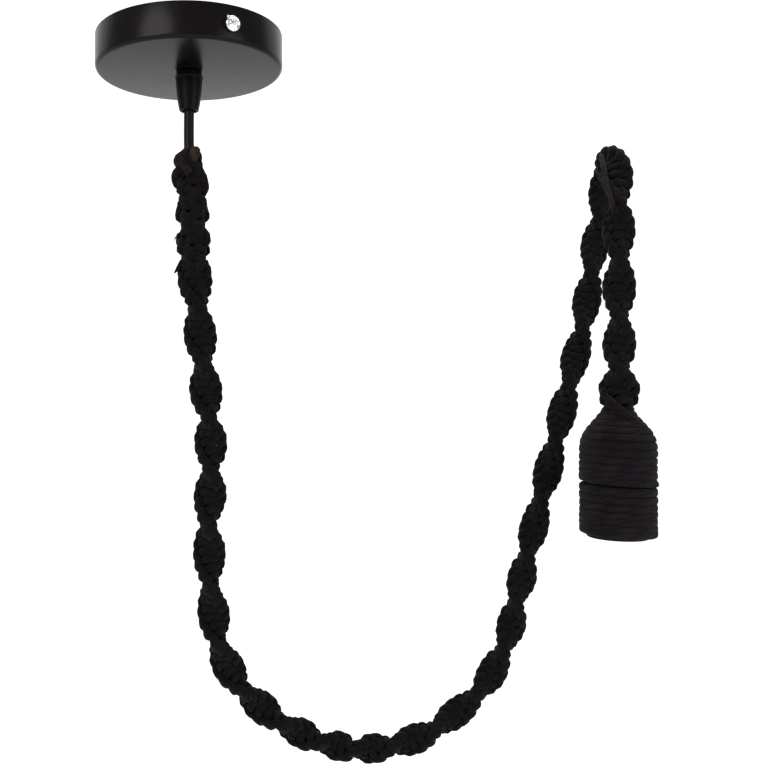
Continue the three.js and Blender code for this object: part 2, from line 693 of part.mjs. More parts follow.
// End knot: strands wrapped tight round the flex, with a neck that runs into the first turn of rope
function endKnot() {
  const top = knotBottom + KNOT_HEIGHT;
  const middle = knotBottom + KNOT_HEIGHT * 0.53;
  const outline = new THREE.Path();
  outline.moveTo(flexBore, knotBottom);
  outline.lineTo(KNOT_NECK / 2, knotBottom);
  outline.lineTo(KNOT_NECK / 2, knotBottom + KNOT_HEIGHT * 0.2);
  outline.quadraticCurveTo(KNOT_DIAMETER / 2, knotBottom + KNOT_HEIGHT * 0.27, KNOT_DIAMETER / 2, middle);
  outline.quadraticCurveTo(KNOT_DIAMETER / 2, top - KNOT_HEIGHT * 0.1, KNOT_TOP / 2, top);
  outline.lineTo(flexBore, top);
  outline.closePath();
  return turned(outline, SMALL_SIDES);
}

// Upper shell of the lamp holder: shouldered cap, open below, with a hole for the nipple
function holderCap() {
  const hole = NIPPLE_THREAD / 2 + TOUCH;
  const breakHeight = HOLDER_TOP - SHOULDER_BREAK_DROP;
  const shoulderEnd = HOLDER_TOP - SHOULDER_DROP;
  const bend = HOLDER_TOP - 0.7 * SHOULDER_DROP;
  const wall = HOLDER_WALL;
  const outline = new THREE.Path();
  outline.moveTo(hole, HOLDER_TOP);
  outline.lineTo(SHOULDER_DIAMETER / 2, HOLDER_TOP);
  outline.lineTo(shoulderBreak, breakHeight);
  outline.quadraticCurveTo(holderRadius, bend, holderRadius, shoulderEnd);
  outline.lineTo(holderRadius, HOLDER_SPLIT);
  outline.lineTo(holderInside, HOLDER_SPLIT);
  outline.lineTo(holderInside, shoulderEnd);
  outline.quadraticCurveTo(holderInside, bend, shoulderBreak - wall, breakHeight - wall / 2);
  outline.lineTo(SHOULDER_DIAMETER / 2 + wall / 2, HOLDER_TOP - wall - wall / 4);
  outline.lineTo(hole, HOLDER_TOP - wall - wall / 4);
  outline.closePath();
  return turned(outline, LARGE_SIDES);
}

// Lower shell: a spigot into the cap, a plain wall and a rim that turns in at the mouth
function holderSkirt() {
  const shoulder = HOLDER_SPLIT - TOUCH;
  const spigot = holderInside - TOUCH;
  const spigotTop = shoulder + SPIGOT_LENGTH;
  const lipTop = HOLDER_RIM + RIM_LIP;
  const outline = new THREE.Path();
  outline.moveTo(spigot - HOLDER_WALL, spigotTop);
  outline.lineTo(spigot, spigotTop);
  outline.lineTo(spigot, shoulder);
  outline.lineTo(holderRadius, shoulder);
  outline.lineTo(holderRadius, HOLDER_RIM + RIM_ROUND);
  outline.lineTo(holderRadius - RIM_ROUND, HOLDER_RIM);
  outline.lineTo(rimOpening, HOLDER_RIM);
  outline.lineTo(rimOpening, lipTop - RIM_ROUND);
  outline.lineTo(holderInside, lipTop + RIM_ROUND);
  outline.lineTo(holderInside, shoulder - HOLDER_WALL);
  outline.lineTo(spigot - HOLDER_WALL, shoulder - 2 * HOLDER_WALL);
  outline.closePath();
  return turned(outline, LARGE_SIDES);
}

// Nipple: threaded tube with a flange, through the top of the cap, and the nut under it
function holderNipple() {
  return turned(outlineOf([
    [flexBore, nippleBottom],
    [NIPPLE_THREAD / 2, nippleBottom],
    [NIPPLE_THREAD / 2, HOLDER_TOP + TOUCH],
    [NIPPLE_FLANGE / 2, HOLDER_TOP + TOUCH],
    [NIPPLE_FLANGE / 2, nippleFlangeTop],
    [flexBore, nippleFlangeTop],
  ]), SMALL_SIDES);
}

function nippleNut() {
  const top = HOLDER_TOP - 1.25 * HOLDER_WALL - TOUCH;
  return nut(NIPPLE_NUT_FLATS, NIPPLE_THREAD + 2 * TOUCH, top - NIPPLE_NUT_HEIGHT, top);
}

// Insert: porcelain disc that carries the contacts, with a hole for each post
function holderInsert() {
  const disc = rod(2 * insertRadius, insertBottom, INSERT_TOP, LARGE_SIDES);
  const holes = [-1, 1].map((side) => {
    const hole = rod(POST_STEM + 2 * TOUCH, insertBottom - 1, INSERT_TOP + 1, TINY_SIDES);
    return hole.translate(side * POST_SPREAD, 0, 0);
  });
  return cut(disc, ...holes);
}

// Lamp sleeve: drawn brass cup under the insert, open at the floor round the centre contact
function lampSleeve() {
  const top = insertBottom - TOUCH;
  const bore = SLEEVE_BORE / 2;
  return turned(outlineOf([
    [bore, top - SLEEVE_HEIGHT],
    [sleeveRadius, top - SLEEVE_HEIGHT],
    [sleeveRadius, top],
    [SLEEVE_FLOOR_HOLE / 2, top],
    [SLEEVE_FLOOR_HOLE / 2, top - SLEEVE_SHEET],
    [bore, top - SLEEVE_SHEET],
  ]), LARGE_SIDES);
}

// Centre contact: sprung tongue, bent down from the insert with a flat tip for the lamp
function centreContact() {
  const top = insertBottom - TOUCH;
  const low = top - CONTACT_DROP;
  const side = new THREE.Shape();
  side.moveTo(CONTACT_REACH, top);
  side.lineTo(-CONTACT_REACH + CONTACT_TIP, top);
  side.lineTo(-CONTACT_REACH + CONTACT_TIP, top - CONTACT_SHEET);
  side.lineTo(CONTACT_REACH - 2 * CONTACT_SHEET, top - CONTACT_SHEET);
  side.lineTo(CONTACT_TIP / 2, low + CONTACT_SHEET);
  side.lineTo(-CONTACT_TIP / 2, low + CONTACT_SHEET);
  side.lineTo(-CONTACT_TIP / 2, low);
  side.lineTo(CONTACT_TIP / 2 + CONTACT_SHEET / 2, low);
  side.lineTo(CONTACT_REACH, top - CONTACT_SHEET);
  side.closePath();
  const options = { depth: CONTACT_WIDTH, bevelEnabled: false };
  return new THREE.ExtrudeGeometry(side, options).rotateX(Math.PI / 2).translate(0, CONTACT_WIDTH / 2, 0);
}

// Contact post: brass head on the insert with a bore for the core, and a stem down to the contact
function post(side) {
  const seat = INSERT_TOP + TOUCH;
  const body = turned(outlineOf([
    [0, insertBottom],
    [POST_STEM / 2, insertBottom],
    [POST_STEM / 2, seat],
    [POST_DIAMETER / 2, seat],
    [POST_DIAMETER / 2, seat + POST_HEIGHT],
    [0, seat + POST_HEIGHT],
  ]), SMALL_SIDES);
  const bore = rod(POST_BORE, seat + POST_HEIGHT - POST_BORE_DEPTH, seat + POST_HEIGHT + 1, TINY_SIDES);
  const thread = rod(POST_SCREW_DIAMETER + 2 * TOUCH, 0, POST_DIAMETER, TINY_SIDES);
  thread.rotateY((side * Math.PI) / 2).translate(0, 0, seat + POST_HEIGHT - POST_SCREW_DROP);
  return cut(body, bore, thread).translate(side * POST_SPREAD, 0, 0);
}

function postScrew(side) {
  const height = INSERT_TOP + TOUCH + POST_HEIGHT - POST_SCREW_DROP;
  const tip = coreRadius + TOUCH;
  const screw = rod(POST_SCREW_DIAMETER, tip, tip + POST_SCREW_LENGTH, TINY_SIDES);
  return screw.rotateY((side * Math.PI) / 2).translate(side * POST_SPREAD, 0, height);
}

function lowerCore(side) {
  const start = flexEnd - TOUCH;
  const seat = INSERT_TOP + TOUCH + POST_HEIGHT;
  const tip = seat - POST_BORE_DEPTH + TOUCH;
  return tube(curveThrough([
    [side * CORE_SPREAD, 0, start],
    [side * CORE_SPREAD, 0, start - 2],
    [side * POST_SPREAD, 0, seat + 2],
    [side * POST_SPREAD, 0, tip],
  ]), CORE_DIAMETER, CORE_SIDES, CORE_STEPS);
}

// Rope wound on a turned form: the curve goes down the form's outline, a rope's width for each turn
class WoundRope extends THREE.Curve {
  constructor(outline, startAngle) {
    super();
    this.outline = outline;
    this.startAngle = startAngle;
    this.turns = outline.getLength() / ROPE_PITCH;
    this.arcLengthDivisions = Math.ceil(this.turns * 2 * ROPE_STEPS_PER_TURN);
  }

  getPoint(t, target = new THREE.Vector3()) {
    const at = this.outline.getPointAt(t);
    const angle = this.startAngle + 2 * Math.PI * this.turns * t;
    return target.set(at.x * Math.cos(angle), at.x * Math.sin(angle), at.y);
  }
}

function woundRope(outline, startAngle) {
  const curve = new WoundRope(outline, startAngle);
  const steps = Math.round(curve.turns * ROPE_STEPS_PER_TURN);
  return tube(curve, ROPE_DIAMETER, ROPE_SIDES, steps);
}

function upperWrap() {
  const radius = woundRadius;
  const out = woundRadius - holderRadius;
  const outline = new THREE.Path();
  outline.moveTo(SHOULDER_DIAMETER / 2 + out, wrapTop);
  outline.lineTo(shoulderBreak + out, HOLDER_TOP - SHOULDER_BREAK_DROP + out);
  outline.quadraticCurveTo(radius, HOLDER_TOP - 0.6 * SHOULDER_DROP, radius, HOLDER_TOP - SHOULDER_DROP);
  outline.lineTo(radius, HOLDER_SPLIT + wrapOffset);
  const turns = outline.getLength() / ROPE_PITCH;
  return woundRope(outline, WRAP_JOINT - WRAP_JOINT_HALF - 2 * Math.PI * turns);
}

function lowerWrap() {
  const radius = woundRadius;
  const outline = new THREE.Path();
  outline.moveTo(radius, HOLDER_SPLIT - wrapOffset);
  outline.lineTo(radius, HOLDER_RIM + WRAP_RIM + ROPE_DIAMETER / 2);
  return woundRope(outline, WRAP_JOINT + WRAP_JOINT_HALF);
}

place(ceilingGroup, 'ceiling_canopy', canopy(), paint);
place(ceilingGroup, 'ceiling_bracket', bracket(), steel);
place(ceilingGroup, 'side_screw_front', sideScrew(), chrome);
place(ceilingGroup, 'side_screw_rear', sideScrew().rotateZ(Math.PI), chrome);
place(ceilingGroup, 'earth_screw', earthScrew(), brass);
place(ceilingGroup, 'earth_ring', earthRing(), brass);
place(ceilingGroup, 'terminal_block', terminalBlock(), nylon);
place(ceilingGroup, 'terminal_block_screw', fixingScrew(), steel);
BLOCK_WAYS.forEach((way, number) => {
  place(ceilingGroup, `${way}_barrel`, barrel(number), brass);
  place(ceilingGroup, `${way}_clamp_screw`, clampScrew(number, 1), steel);
  place(ceilingGroup, `${way}_supply_screw`, clampScrew(number, -1), steel);
});
const coreMaterial = (way) => new THREE.MeshStandardMaterial({ color: coreColours[way], roughness: 0.5 });
place(ceilingGroup, 'live_core_upper', upperCore(-1, 0, 0.6, 3.5), coreMaterial('live'));
place(ceilingGroup, 'neutral_core_upper', upperCore(1, 2, 0.2, 12), coreMaterial('neutral'));
place(ceilingGroup, 'earth_lead', earthLead(), coreMaterial('earth'));

place(pendant, 'cord_grip_base', gripBase(), plastic);
const nutLow = plateTop + TOUCH;
const gripNut = nut(GRIP_NUT_FLATS, GRIP_THREAD + 2 * TOUCH, nutLow, nutLow + GRIP_NUT_HEIGHT);
place(pendant, 'cord_grip_nut', gripNut, plastic);
place(pendant, 'cord_grip_collet', gripCollet(), nylon);
place(pendant, 'cord_grip_cap', gripCap(), plastic);

const route = curveThrough(ROUTE);
route.arcLengthDivisions = 1000;
place(pendant, 'flex', tube(route, FLEX_DIAMETER, FLEX_SIDES, FLEX_STEPS), sheath);
place(pendant, 'knotted_cover', cover(route), rope);
place(holderGroup, 'end_knot', endKnot(), rope);

place(holderGroup, 'holder_cap', holderCap(), plastic);
place(holderGroup, 'holder_skirt', holderSkirt(), plastic);
place(holderGroup, 'holder_nipple', holderNipple(), steel);
place(holderGroup, 'holder_nipple_nut', nippleNut(), steel);
place(holderGroup, 'holder_insert', holderInsert(), porcelain);
place(holderGroup, 'lamp_sleeve', lampSleeve(), brass);
place(holderGroup, 'centre_contact', centreContact(), brass);
[['live', -1], ['neutral', 1]].forEach(([way, side]) => {
  place(holderGroup, `${way}_post`, post(side), brass);
  place(holderGroup, `${way}_post_screw`, postScrew(side), steel);
  place(holderGroup, `${way}_core_lower`, lowerCore(side), coreMaterial(way));
});
place(holderGroup, 'upper_rope_wrap', upperWrap(), rope);
place(holderGroup, 'lower_rope_wrap', lowerWrap(), rope);

export default pendant;
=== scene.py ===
import math

import bmesh
import bpy
import numpy as np
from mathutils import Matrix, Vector


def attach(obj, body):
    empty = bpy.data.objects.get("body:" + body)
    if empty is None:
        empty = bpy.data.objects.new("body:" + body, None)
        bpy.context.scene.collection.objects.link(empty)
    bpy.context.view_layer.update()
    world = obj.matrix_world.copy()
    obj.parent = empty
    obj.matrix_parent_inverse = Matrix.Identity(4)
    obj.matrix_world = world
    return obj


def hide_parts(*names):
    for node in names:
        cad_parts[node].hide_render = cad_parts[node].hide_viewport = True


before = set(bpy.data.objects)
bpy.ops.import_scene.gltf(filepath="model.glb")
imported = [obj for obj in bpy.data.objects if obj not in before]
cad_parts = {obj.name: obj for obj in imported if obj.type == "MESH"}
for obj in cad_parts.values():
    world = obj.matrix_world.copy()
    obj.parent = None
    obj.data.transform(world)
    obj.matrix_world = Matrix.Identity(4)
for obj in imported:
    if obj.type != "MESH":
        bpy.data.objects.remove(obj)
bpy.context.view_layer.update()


# Camera: close in front of the object and level with the middle of the hanging loop. It looks
# straight along +Y, and its frame is shifted to the right, where the lamp holder hangs.
CAMERA_PLACE = (0.029, -0.5826, -0.2221)
CAMERA_LENS = 42.375
CAMERA_SHIFT = 0.1953

camera = bpy.data.objects.new("camera", bpy.data.cameras.new("camera"))
camera.location = CAMERA_PLACE
camera.rotation_euler = (math.radians(90), 0, 0)
camera.data.sensor_width = 36
camera.data.lens = CAMERA_LENS
camera.data.shift_x = CAMERA_SHIFT
bpy.context.scene.collection.objects.link(camera)
bpy.context.scene.camera = camera
bpy.context.scene.view_settings.view_transform = "Standard"


# Flex: a round two-core lead in a black PVC sheath, 6.6 mm thick. It leaves the cord grip, hangs
# in one loop, folds over and ends in the lamp holder. The whole of it shows.
MM = 0.001
FLEX_DIAMETER = 6.6 * MM
FLEX_SAMPLE = 1.5 * MM
FLEX_ROUTE = [
    (0, 0, -19.5),
    (0, 0, -46),
    (0, 0, -69),
    (1.1, 0, -92),
    (2.5, 0, -120),
    (3.4, 0, -149),
    (10.1, 0, -219.5),
    (13.6, 0, -253),
    (14.4, 1, -278),
    (12.7, 2.5, -310),
    (13.3, 4, -340),
    (15.4, 5, -369),
    (19.2, 6, -390.7),
    (25.7, 7, -407.3),
    (34.9, 8, -420.7),
    (46.7, 9, -433.2),
    (65, 10.5, -447),
    (88.9, 12, -457.9),
    (114, 13.5, -462.6),
    (140, 15, -459.4),
    (157.5, 16, -453.2),
    (172.9, 17, -443),
    (190.7, 18, -428.1),
    (202.4, 19.5, -411.2),
    (211.3, 21, -393),
    (217, 21.3, -370.5),
    (224, 21.6, -340),
    (234.2, 22, -299.7),
    (241.4, 23.4, -272.4),
    (248.2, 26.5, -248.4),
    (256.5, 31, -221.4),
    (265.6, 36.2, -191.3),
    (272.4, 40.1, -162.2),
    (277.2, 42, -135.5),
    (279.3, 42, -119.5),
    (282.1, 42, -103.5),
    (282.4, 38.1, -89),
    (280.1, 27.5, -78.4),
    (276.7, 13, -74.5),
    (273.2, -1.5, -78.4),
    (270.4, -12.1, -89),
    (269.6, -16, -103.5),
    (269.9, -16, -119.5),
    (270.2, -16, -135.5),
    (270.4, -16, -190),
    (270.2, -16, -230),
    (269.6, -16, -250.5),
]


def smooth_line(points, spacing):
    """Points a spacing apart on the centripetal curve that passes through all the given ones."""
    given = np.array(points, float)
    given = np.vstack([2 * given[0] - given[1], given, 2 * given[-1] - given[-2]])
    steps = np.linspace(0, 1, 40, endpoint=False)[:, None]
    fine = []
    for before, start, end, after in zip(given, given[1:], given[2:], given[3:]):
        gaps = [math.sqrt(np.linalg.norm(b - a)) for a, b in ((before, start), (start, end), (end, after))]
        leave = (start - before) / gaps[0] - (end - before) / (gaps[0] + gaps[1]) + (end - start) / gaps[1]
        arrive = (end - start) / gaps[1] - (after - start) / (gaps[1] + gaps[2]) + (after - end) / gaps[2]
        leave = leave * gaps[1]
        arrive = arrive * gaps[1]
        cubic = 2 * start - 2 * end + leave + arrive
        square = -3 * start + 3 * end - 2 * leave - arrive
        fine.append(start + steps * (leave + steps * (square + steps * cubic)))
    fine = np.vstack([*fine, given[-2:-1]])
    travelled = np.append(0, np.cumsum(np.linalg.norm(np.diff(fine, axis=0), axis=1)))
    places = np.linspace(0, travelled[-1], round(travelled[-1] / spacing) + 1)
    return np.stack([np.interp(places, travelled, fine[:, axis]) for axis in range(3)], axis=1), places


flex_line, flex_travel = smooth_line(np.array(FLEX_ROUTE) * MM, FLEX_SAMPLE)
flex_length = flex_travel[-1]


class Wire:
    """An output in a node tree. Arithmetic on it adds Math nodes, and node() adds any other node.

    beside() gives another output of the same node.
    """

    def __init__(self, tree, socket=None):
        self.tree = tree
        self.socket = socket

    def node(self, kind, settings, sockets, output=0):
        made = self.tree.nodes.new(kind)
        for name, value in settings.items():
            setattr(made, name, value)
        for name, value in sockets.items():
            if isinstance(value, Wire):
                self.tree.links.new(value.socket, made.inputs[name])
            else:
                made.inputs[name].default_value = value
        return Wire(self.tree, made.outputs[output] if len(made.outputs) else None)

    def beside(self, output):
        return Wire(self.tree, self.socket.node.outputs[output])

    def math(self, operation, *values):
        return self.node("ShaderNodeMath", {"operation": operation}, dict(enumerate(values)))

    def vector(self, operation, *values, output=0):
        return self.node("ShaderNodeVectorMath", {"operation": operation}, dict(enumerate(values)), output)

    def times(self, factor):
        return self.node("ShaderNodeVectorMath", {"operation": "SCALE"}, {0: self, "Scale": factor})

    def __add__(self, other):
        return self.math("ADD", self, other)

    def __radd__(self, other):
        return self.math("ADD", other, self)

    def __sub__(self, other):
        return self.math("SUBTRACT", self, other)

    def __rsub__(self, other):
        return self.math("SUBTRACT", other, self)

    def __mul__(self, other):
        return self.math("MULTIPLY", self, other)

    def __rmul__(self, other):
        return self.math("MULTIPLY", other, self)

    def __truediv__(self, other):
        return self.math("DIVIDE", self, other)

    def __rtruediv__(self, other):
        return self.math("DIVIDE", other, self)


def shade(*values):
    """A colour from one grey value or from three."""
    return (*(values * 3)[:3], 1.0)


def mix(mask, low, high):
    """The colour that goes from low to high as the mask goes from 0 to 1."""
    return mask.node("ShaderNodeMix", {"data_type": "RGBA"}, {0: mask, 6: low, 7: high}, 2)


def grain(net, place, scale, detail=2.0):
    """Noise from 0 to 1 at a place."""
    return net.node("ShaderNodeTexNoise", {}, {"Vector": place, "Scale": scale, "Detail": detail})


def finish(name, describe):
    """A material whose surface is the shader that describe() makes from its empty tree."""
    material = bpy.data.materials.new(name)
    material.use_nodes = True
    material.node_tree.nodes.clear()
    net = Wire(material.node_tree)
    net.node("ShaderNodeOutputMaterial", {}, {"Surface": describe(net)})
    return material


def object_place(net):
    """Where a point of the surface lies, in metres."""
    return net.node("ShaderNodeTexCoord", {}, {}, "Object")


def bump(height, distance):
    """The surface's normal, tilted by a height from 0 to 1 that stands for a distance."""
    return height.node("ShaderNodeBump", {}, {"Height": height, "Distance": distance}, "Normal")


def plain_surface(colour, roughness, scale, relief, spread=0.12, metallic=0.0, level=0.5):
    """A surface with slow patches of tone, fine grain in its gloss and a shallow relief."""
    def describe(net):
        place = object_place(net)
        patches = grain(net, place, scale / 12, 3.0)
        fine = grain(net, place, scale)
        dark = shade(*(part * (1 - spread) for part in colour[:3]))
        light = shade(*(part * (1 + spread) for part in colour[:3]))
        return net.node("ShaderNodeBsdfPrincipled", {}, {
            "Base Color": mix(patches, dark, light),
            "Roughness": roughness * (0.85 + 0.3 * patches) + 0.08 * (fine - 0.5),
            "Metallic": metallic,
            "Specular IOR Level": level,
            "Specular Tint": shade(1.0, 0.93, 0.96),
            "Normal": bump(fine, relief),
        })
    return describe


sheath = finish("flex_sheath", plain_surface(shade(0.0075, 0.0065, 0.0075), 0.4, 900, 0.02 * MM, level=0.1))

flex_curve = bpy.data.curves.new("flex_sheathed", "CURVE")
flex_curve.dimensions = "3D"
flex_curve.bevel_depth = FLEX_DIAMETER / 2
flex_curve.bevel_resolution = 5
flex_curve.use_fill_caps = True
flex_spline = flex_curve.splines.new("POLY")
flex_spline.points.add(len(flex_line) - 1)
for point, place in zip(flex_spline.points, flex_line):
    point.co = (*place, 1)
flex_spline.use_smooth = True
flex = bpy.data.objects.new("flex_sheathed", flex_curve)
flex_curve.materials.append(sheath)
bpy.context.scene.collection.objects.link(flex)
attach(flex, "root")
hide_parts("flex")


# Rope: soft black cotton cord laid from three plies. One tree turns any line into such a rope. The
# line carries which way is out, how hard the rope is pressed against what it lies on, how full it
# is, and how much painted shade its sides take.
ROPE_PLIES = 3


def entry(tree, name, kind):
    """The identifier of a new input of a tree."""
    return tree.interface.new_socket(name=name, in_out="INPUT", socket_type=f"NodeSocket{kind}").identifier


def new_tree(name, *entries):
    """A Geometry Nodes tree with named inputs. It returns the tree, its inputs and their identifiers."""
    tree = bpy.data.node_groups.new(name, "GeometryNodeTree")
    tree.is_modifier = True
    keys = {"Geometry": entry(tree, "Geometry", "Geometry")}
    for label, kind in entries:
        keys[label] = entry(tree, label, kind)
    tree.interface.new_socket(name="Geometry", in_out="OUTPUT", socket_type="NodeSocketGeometry")
    inputs = Wire(tree).node("NodeGroupInput", {}, {})
    wires = {label: inputs.beside(label) for label in keys}
    return tree, wires, keys


def stored(geometry, name, kind, value):
    """The geometry, with a value kept at each of its points under a name."""
    settings = {"data_type": kind, "domain": "POINT"}
    return geometry.node("GeometryNodeStoreNamedAttribute", settings,
                         {"Geometry": geometry, "Name": name, "Value": value})


def named(net, name, kind):
    """The value that each point keeps under a name."""
    return net.node("GeometryNodeInputNamedAttribute", {"data_type": kind}, {"Name": name})


def rope_tree():
    """Line to rope: a round section swept along it, grooved between its plies and pressed flat."""
    tree, given, _ = new_tree(
        "Laid rope", ("Radius", "Float"), ("Sides", "Int"), ("Lay", "Float"), ("Groove", "Float"),
        ("Square", "Float"), ("Material", "Material"))
    net = given["Geometry"]
    line = stored(net, "centre", "FLOAT_VECTOR", net.node("GeometryNodeInputPosition", {}, {}))
    line = stored(line, "along", "FLOAT", net.node("GeometryNodeSplineParameter", {}, {}, "Length"))
    ring = net.node("GeometryNodeCurvePrimitiveCircle", {},
                    {"Resolution": given["Sides"], "Radius": given["Radius"]})
    ring = stored(ring, "around", "FLOAT", net.node("GeometryNodeSplineParameter", {}, {}, "Factor"))
    body = net.node("GeometryNodeCurveToMesh", {}, {"Curve": line, "Profile Curve": ring, "Fill Caps": True})
    along = named(net, "along", "FLOAT")
    angle = 2 * math.pi * named(net, "around", "FLOAT") + 2 * math.pi * along / given["Lay"]
    lobe = net.math("ABSOLUTE", net.math("SINE", angle * (ROPE_PLIES / 2)))
    groove = (1 - lobe) * (1 - lobe)
    centre = named(net, "centre", "FLOAT_VECTOR")
    out = named(net, "out", "FLOAT_VECTOR")
    press = named(net, "press", "FLOAT")

    # Where the rope is pressed flat it grows wider, and the power squares its section.
    offset = net.vector("SUBTRACT", net.node("GeometryNodeInputPosition", {}, {}), centre)
    offset = offset.times((1 - given["Groove"] * groove) * (1 + 0.4 * press) * named(net, "full", "FLOAT"))
    height = net.vector("DOT_PRODUCT", offset, out, output="Value")
    rise = net.math("ABSOLUTE", height) / net.vector("LENGTH", offset, output="Value")
    rise = net.math("MINIMUM", rise, 1.0)
    reach = net.math("SQRT", 1 - rise * rise)
    total = net.math("POWER", rise, given["Square"]) + net.math("POWER", reach, given["Square"])
    corner = net.math("POWER", total, -1 / given["Square"])
    offset = offset.times(corner)
    height = height * corner
    offset = net.vector("SUBTRACT", offset, out.times(height * press))
    body = net.node("GeometryNodeSetPosition", {},
                    {"Geometry": body, "Position": net.vector("ADD", centre, offset)})

    # The fibres follow the lay; the groove value is painted shade between the plies and on the sides.
    lay = net.node("ShaderNodeCombineXYZ", {},
                   {"X": net.math("COSINE", angle), "Y": net.math("SINE", angle), "Z": along * 70})
    body = stored(body, "fibre", "FLOAT_VECTOR", lay)
    flank = net.math("MINIMUM", net.math("MAXIMUM", (0.84 - rise) * 4, 0.0), 1.0)
    flank = flank * named(net, "flank", "FLOAT")
    body = stored(body, "groove", "FLOAT", net.math("MAXIMUM", groove, flank))
    body = net.node("GeometryNodeSetShadeSmooth", {}, {"Geometry": body})
    body = net.node("GeometryNodeRealizeInstances", {}, {"Geometry": body})
    body = net.node("GeometryNodeSetMaterial", {}, {"Geometry": body, "Material": given["Material"]})
    net.node("NodeGroupOutput", {}, {"Geometry": body})
    return tree


laid_rope = rope_tree()


def rope_surface(dark, light):
    """Matt cotton: fibres that follow the lay, with painted shade between the plies and on the sides."""
    def describe(net):
        fibre = net.node("ShaderNodeAttribute", {"attribute_name": "fibre"}, {}, "Vector")
        groove = net.node("ShaderNodeAttribute", {"attribute_name": "groove"}, {}, "Fac")
        threads = grain(net, fibre, 5.0, 3.0)
        patches = grain(net, object_place(net), 60, 2.0)
        tone = 0.55 * threads + 0.45 * patches
        tone = net.math("SMOOTH_MIN", net.math("MAXIMUM", (tone - 0.3) * 2.2, 0.0), 1.0, 0.1)
        # Painted shade: the base colour darkens by the groove value, between the plies and on the sides.
        return net.node("ShaderNodeBsdfPrincipled", {}, {
            "Base Color": mix(tone * (1 - 0.85 * groove), dark, light),
            "Roughness": 0.88 + 0.1 * threads,
            "Specular IOR Level": 0.14,
            "Sheen Weight": 0.03,
            "Sheen Roughness": 0.5,
            "Normal": bump(threads - 0.8 * groove, 0.25 * MM),
        })
    return describe


black_rope = finish("black_rope", rope_surface(shade(0.0016, 0.001, 0.0015), shade(0.0205, 0.0146, 0.0202)))
# The same black rope, painted about 0.6 as dark for the knotted cover and its loose ends: painted shade.
shaded_black_rope = finish("shaded_black_rope", rope_surface(shade(0.0006, 0.0003, 0.0006), shade(0.0122, 0.0082, 0.012)))


def build(name, tree, keys, base, **values):
    """The plain mesh that a tree makes from a base mesh, as an object that rides on the part."""
    made = bpy.data.objects.new(name, base)
    bpy.context.scene.collection.objects.link(made)
    modifier = made.modifiers.new("shape", "NODES")
    modifier.node_group = tree
    for label, value in values.items():
        modifier[keys[label]] = value
    bpy.context.view_layer.update()
    graph = bpy.context.evaluated_depsgraph_get()
    mesh = bpy.data.meshes.new_from_object(made.evaluated_get(graph), depsgraph=graph)
    made.modifiers.clear()
    made.data = mesh
    mesh.name = name
    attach(made, "root")
    return made


def use_rope(net, line, given, material, sides, groove, square):
    """Ends a tree with the laid rope, swept along its line."""
    rope = net.node("GeometryNodeGroup", {"node_tree": laid_rope}, {
        "Geometry": line, "Radius": given["Radius"], "Sides": sides, "Lay": given["Lay"],
        "Groove": groove, "Square": square, "Material": material})
    rope = net.node("GeometryNodeRealizeInstances", {}, {"Geometry": rope})
    rope = net.node("GeometryNodeSetMaterial", {}, {"Geometry": rope, "Material": material})
    net.node("NodeGroupOutput", {}, {"Geometry": rope})


# Knotted cover: two strands of black rope, tied round the flex in half knots all of one hand.
# Each knot turns a little further than the last, so that the flat band of knots winds round.
COVER_START = 56.5 * MM
KNOT_PITCH = 5.4 * MM
KNOT_STEPS = 24
STRAND_RADIUS = 2.2 * MM
STRAND_LAY = 38 * MM
STRAND_SLACK = 0.9 * MM
END_KNOTS = 6
END_CLEARANCE = 8 * MM

# The middles of the cover's bulges, in mm along the flex. There the flat band faces the front.
COVER_BULGES = [
    70, 90, 109, 131, 170, 206, 240, 274, 311, 352, 387, 421, 453, 479, 501, 527,
    560, 596, 631, 663, 696, 736, 776, 816, 857, 896, 934, 970, 1002, 1037, 1073, 1110, 1139, 1164,
]

# Half knot, from the middle of the front to the middle of the back: the strand goes to the right,
# out under the other one, down along the edge, over the other one's next bar and in behind. The
# values are its place across and out of the band, in mm, along in knots, its press and its size.
HALF_KNOT = [
    (0.0, 3.9, 0.0, 0.6, 1.0),
    (2.8, 3.8, 0.0, 0.58, 1.0),
    (5.2, 2.6, 0.0, 0.5, 1.0),
    (7.0, 0.6, 0.03, 0.35, 1.04),
    (7.9, -0.7, 0.16, 0.3, 1.1),
    (8.05, -0.5, 0.42, 0.3, 1.16),
    (8.05, 1.0, 0.74, 0.3, 1.16),
    (7.7, 2.6, 1.0, 0.32, 1.12),
    (6.4, 3.6, 1.2, 0.4, 1.04),
    (5.1, 2.2, 1.36, 0.4, 1.0),
    (4.9, -0.8, 1.34, 0.4, 1.0),
    (4.7, -3.0, 1.16, 0.5, 1.0),
    (2.8, -3.8, 1.02, 0.58, 1.0),
    (0.0, -3.9, 1.0, 0.6, 1.0),
]

# How broad, how deep and how thick the band is at places in mm along the flex, as shares of the
# plain band: fuller where the ends are tied in under the cord grip, and over the lamp holder.
BAND_FORM = [
    (45, 1.0, 1.6, 1.05),
    (60, 1.05, 1.7, 1.12),
    (130, 1.12, 1.7, 1.12),
    (160, 1.1, 1.0, 1.0),
    (390, 1.07, 1.0, 1.0),
    (430, 1.04, 0.98, 1.0),
    (460, 0.96, 0.95, 0.98),
    (560, 0.93, 0.9, 0.96),
    (700, 0.93, 0.86, 0.95),
    (960, 0.95, 0.88, 0.96),
    (1122, 1.0, 0.95, 1.0),
    (1136, 1.28, 1.3, 1.1),
    (1146, 1.2, 1.6, 1.1),
    (1156, 1.0, 2.0, 1.1),
]


def frames_along(line, first):
    """For each point of a line, a direction square to it that doesn't spin, and the one square to both."""
    ways = np.gradient(line, axis=0)
    ways /= np.linalg.norm(ways, axis=1)[:, None]
    fronts = [np.array(first, float)]
    for way in ways[1:]:
        carried = fronts[-1] - way * (fronts[-1] @ way)
        fronts.append(carried / np.linalg.norm(carried))
    fronts = np.array(fronts)
    return fronts, np.cross(ways, fronts)


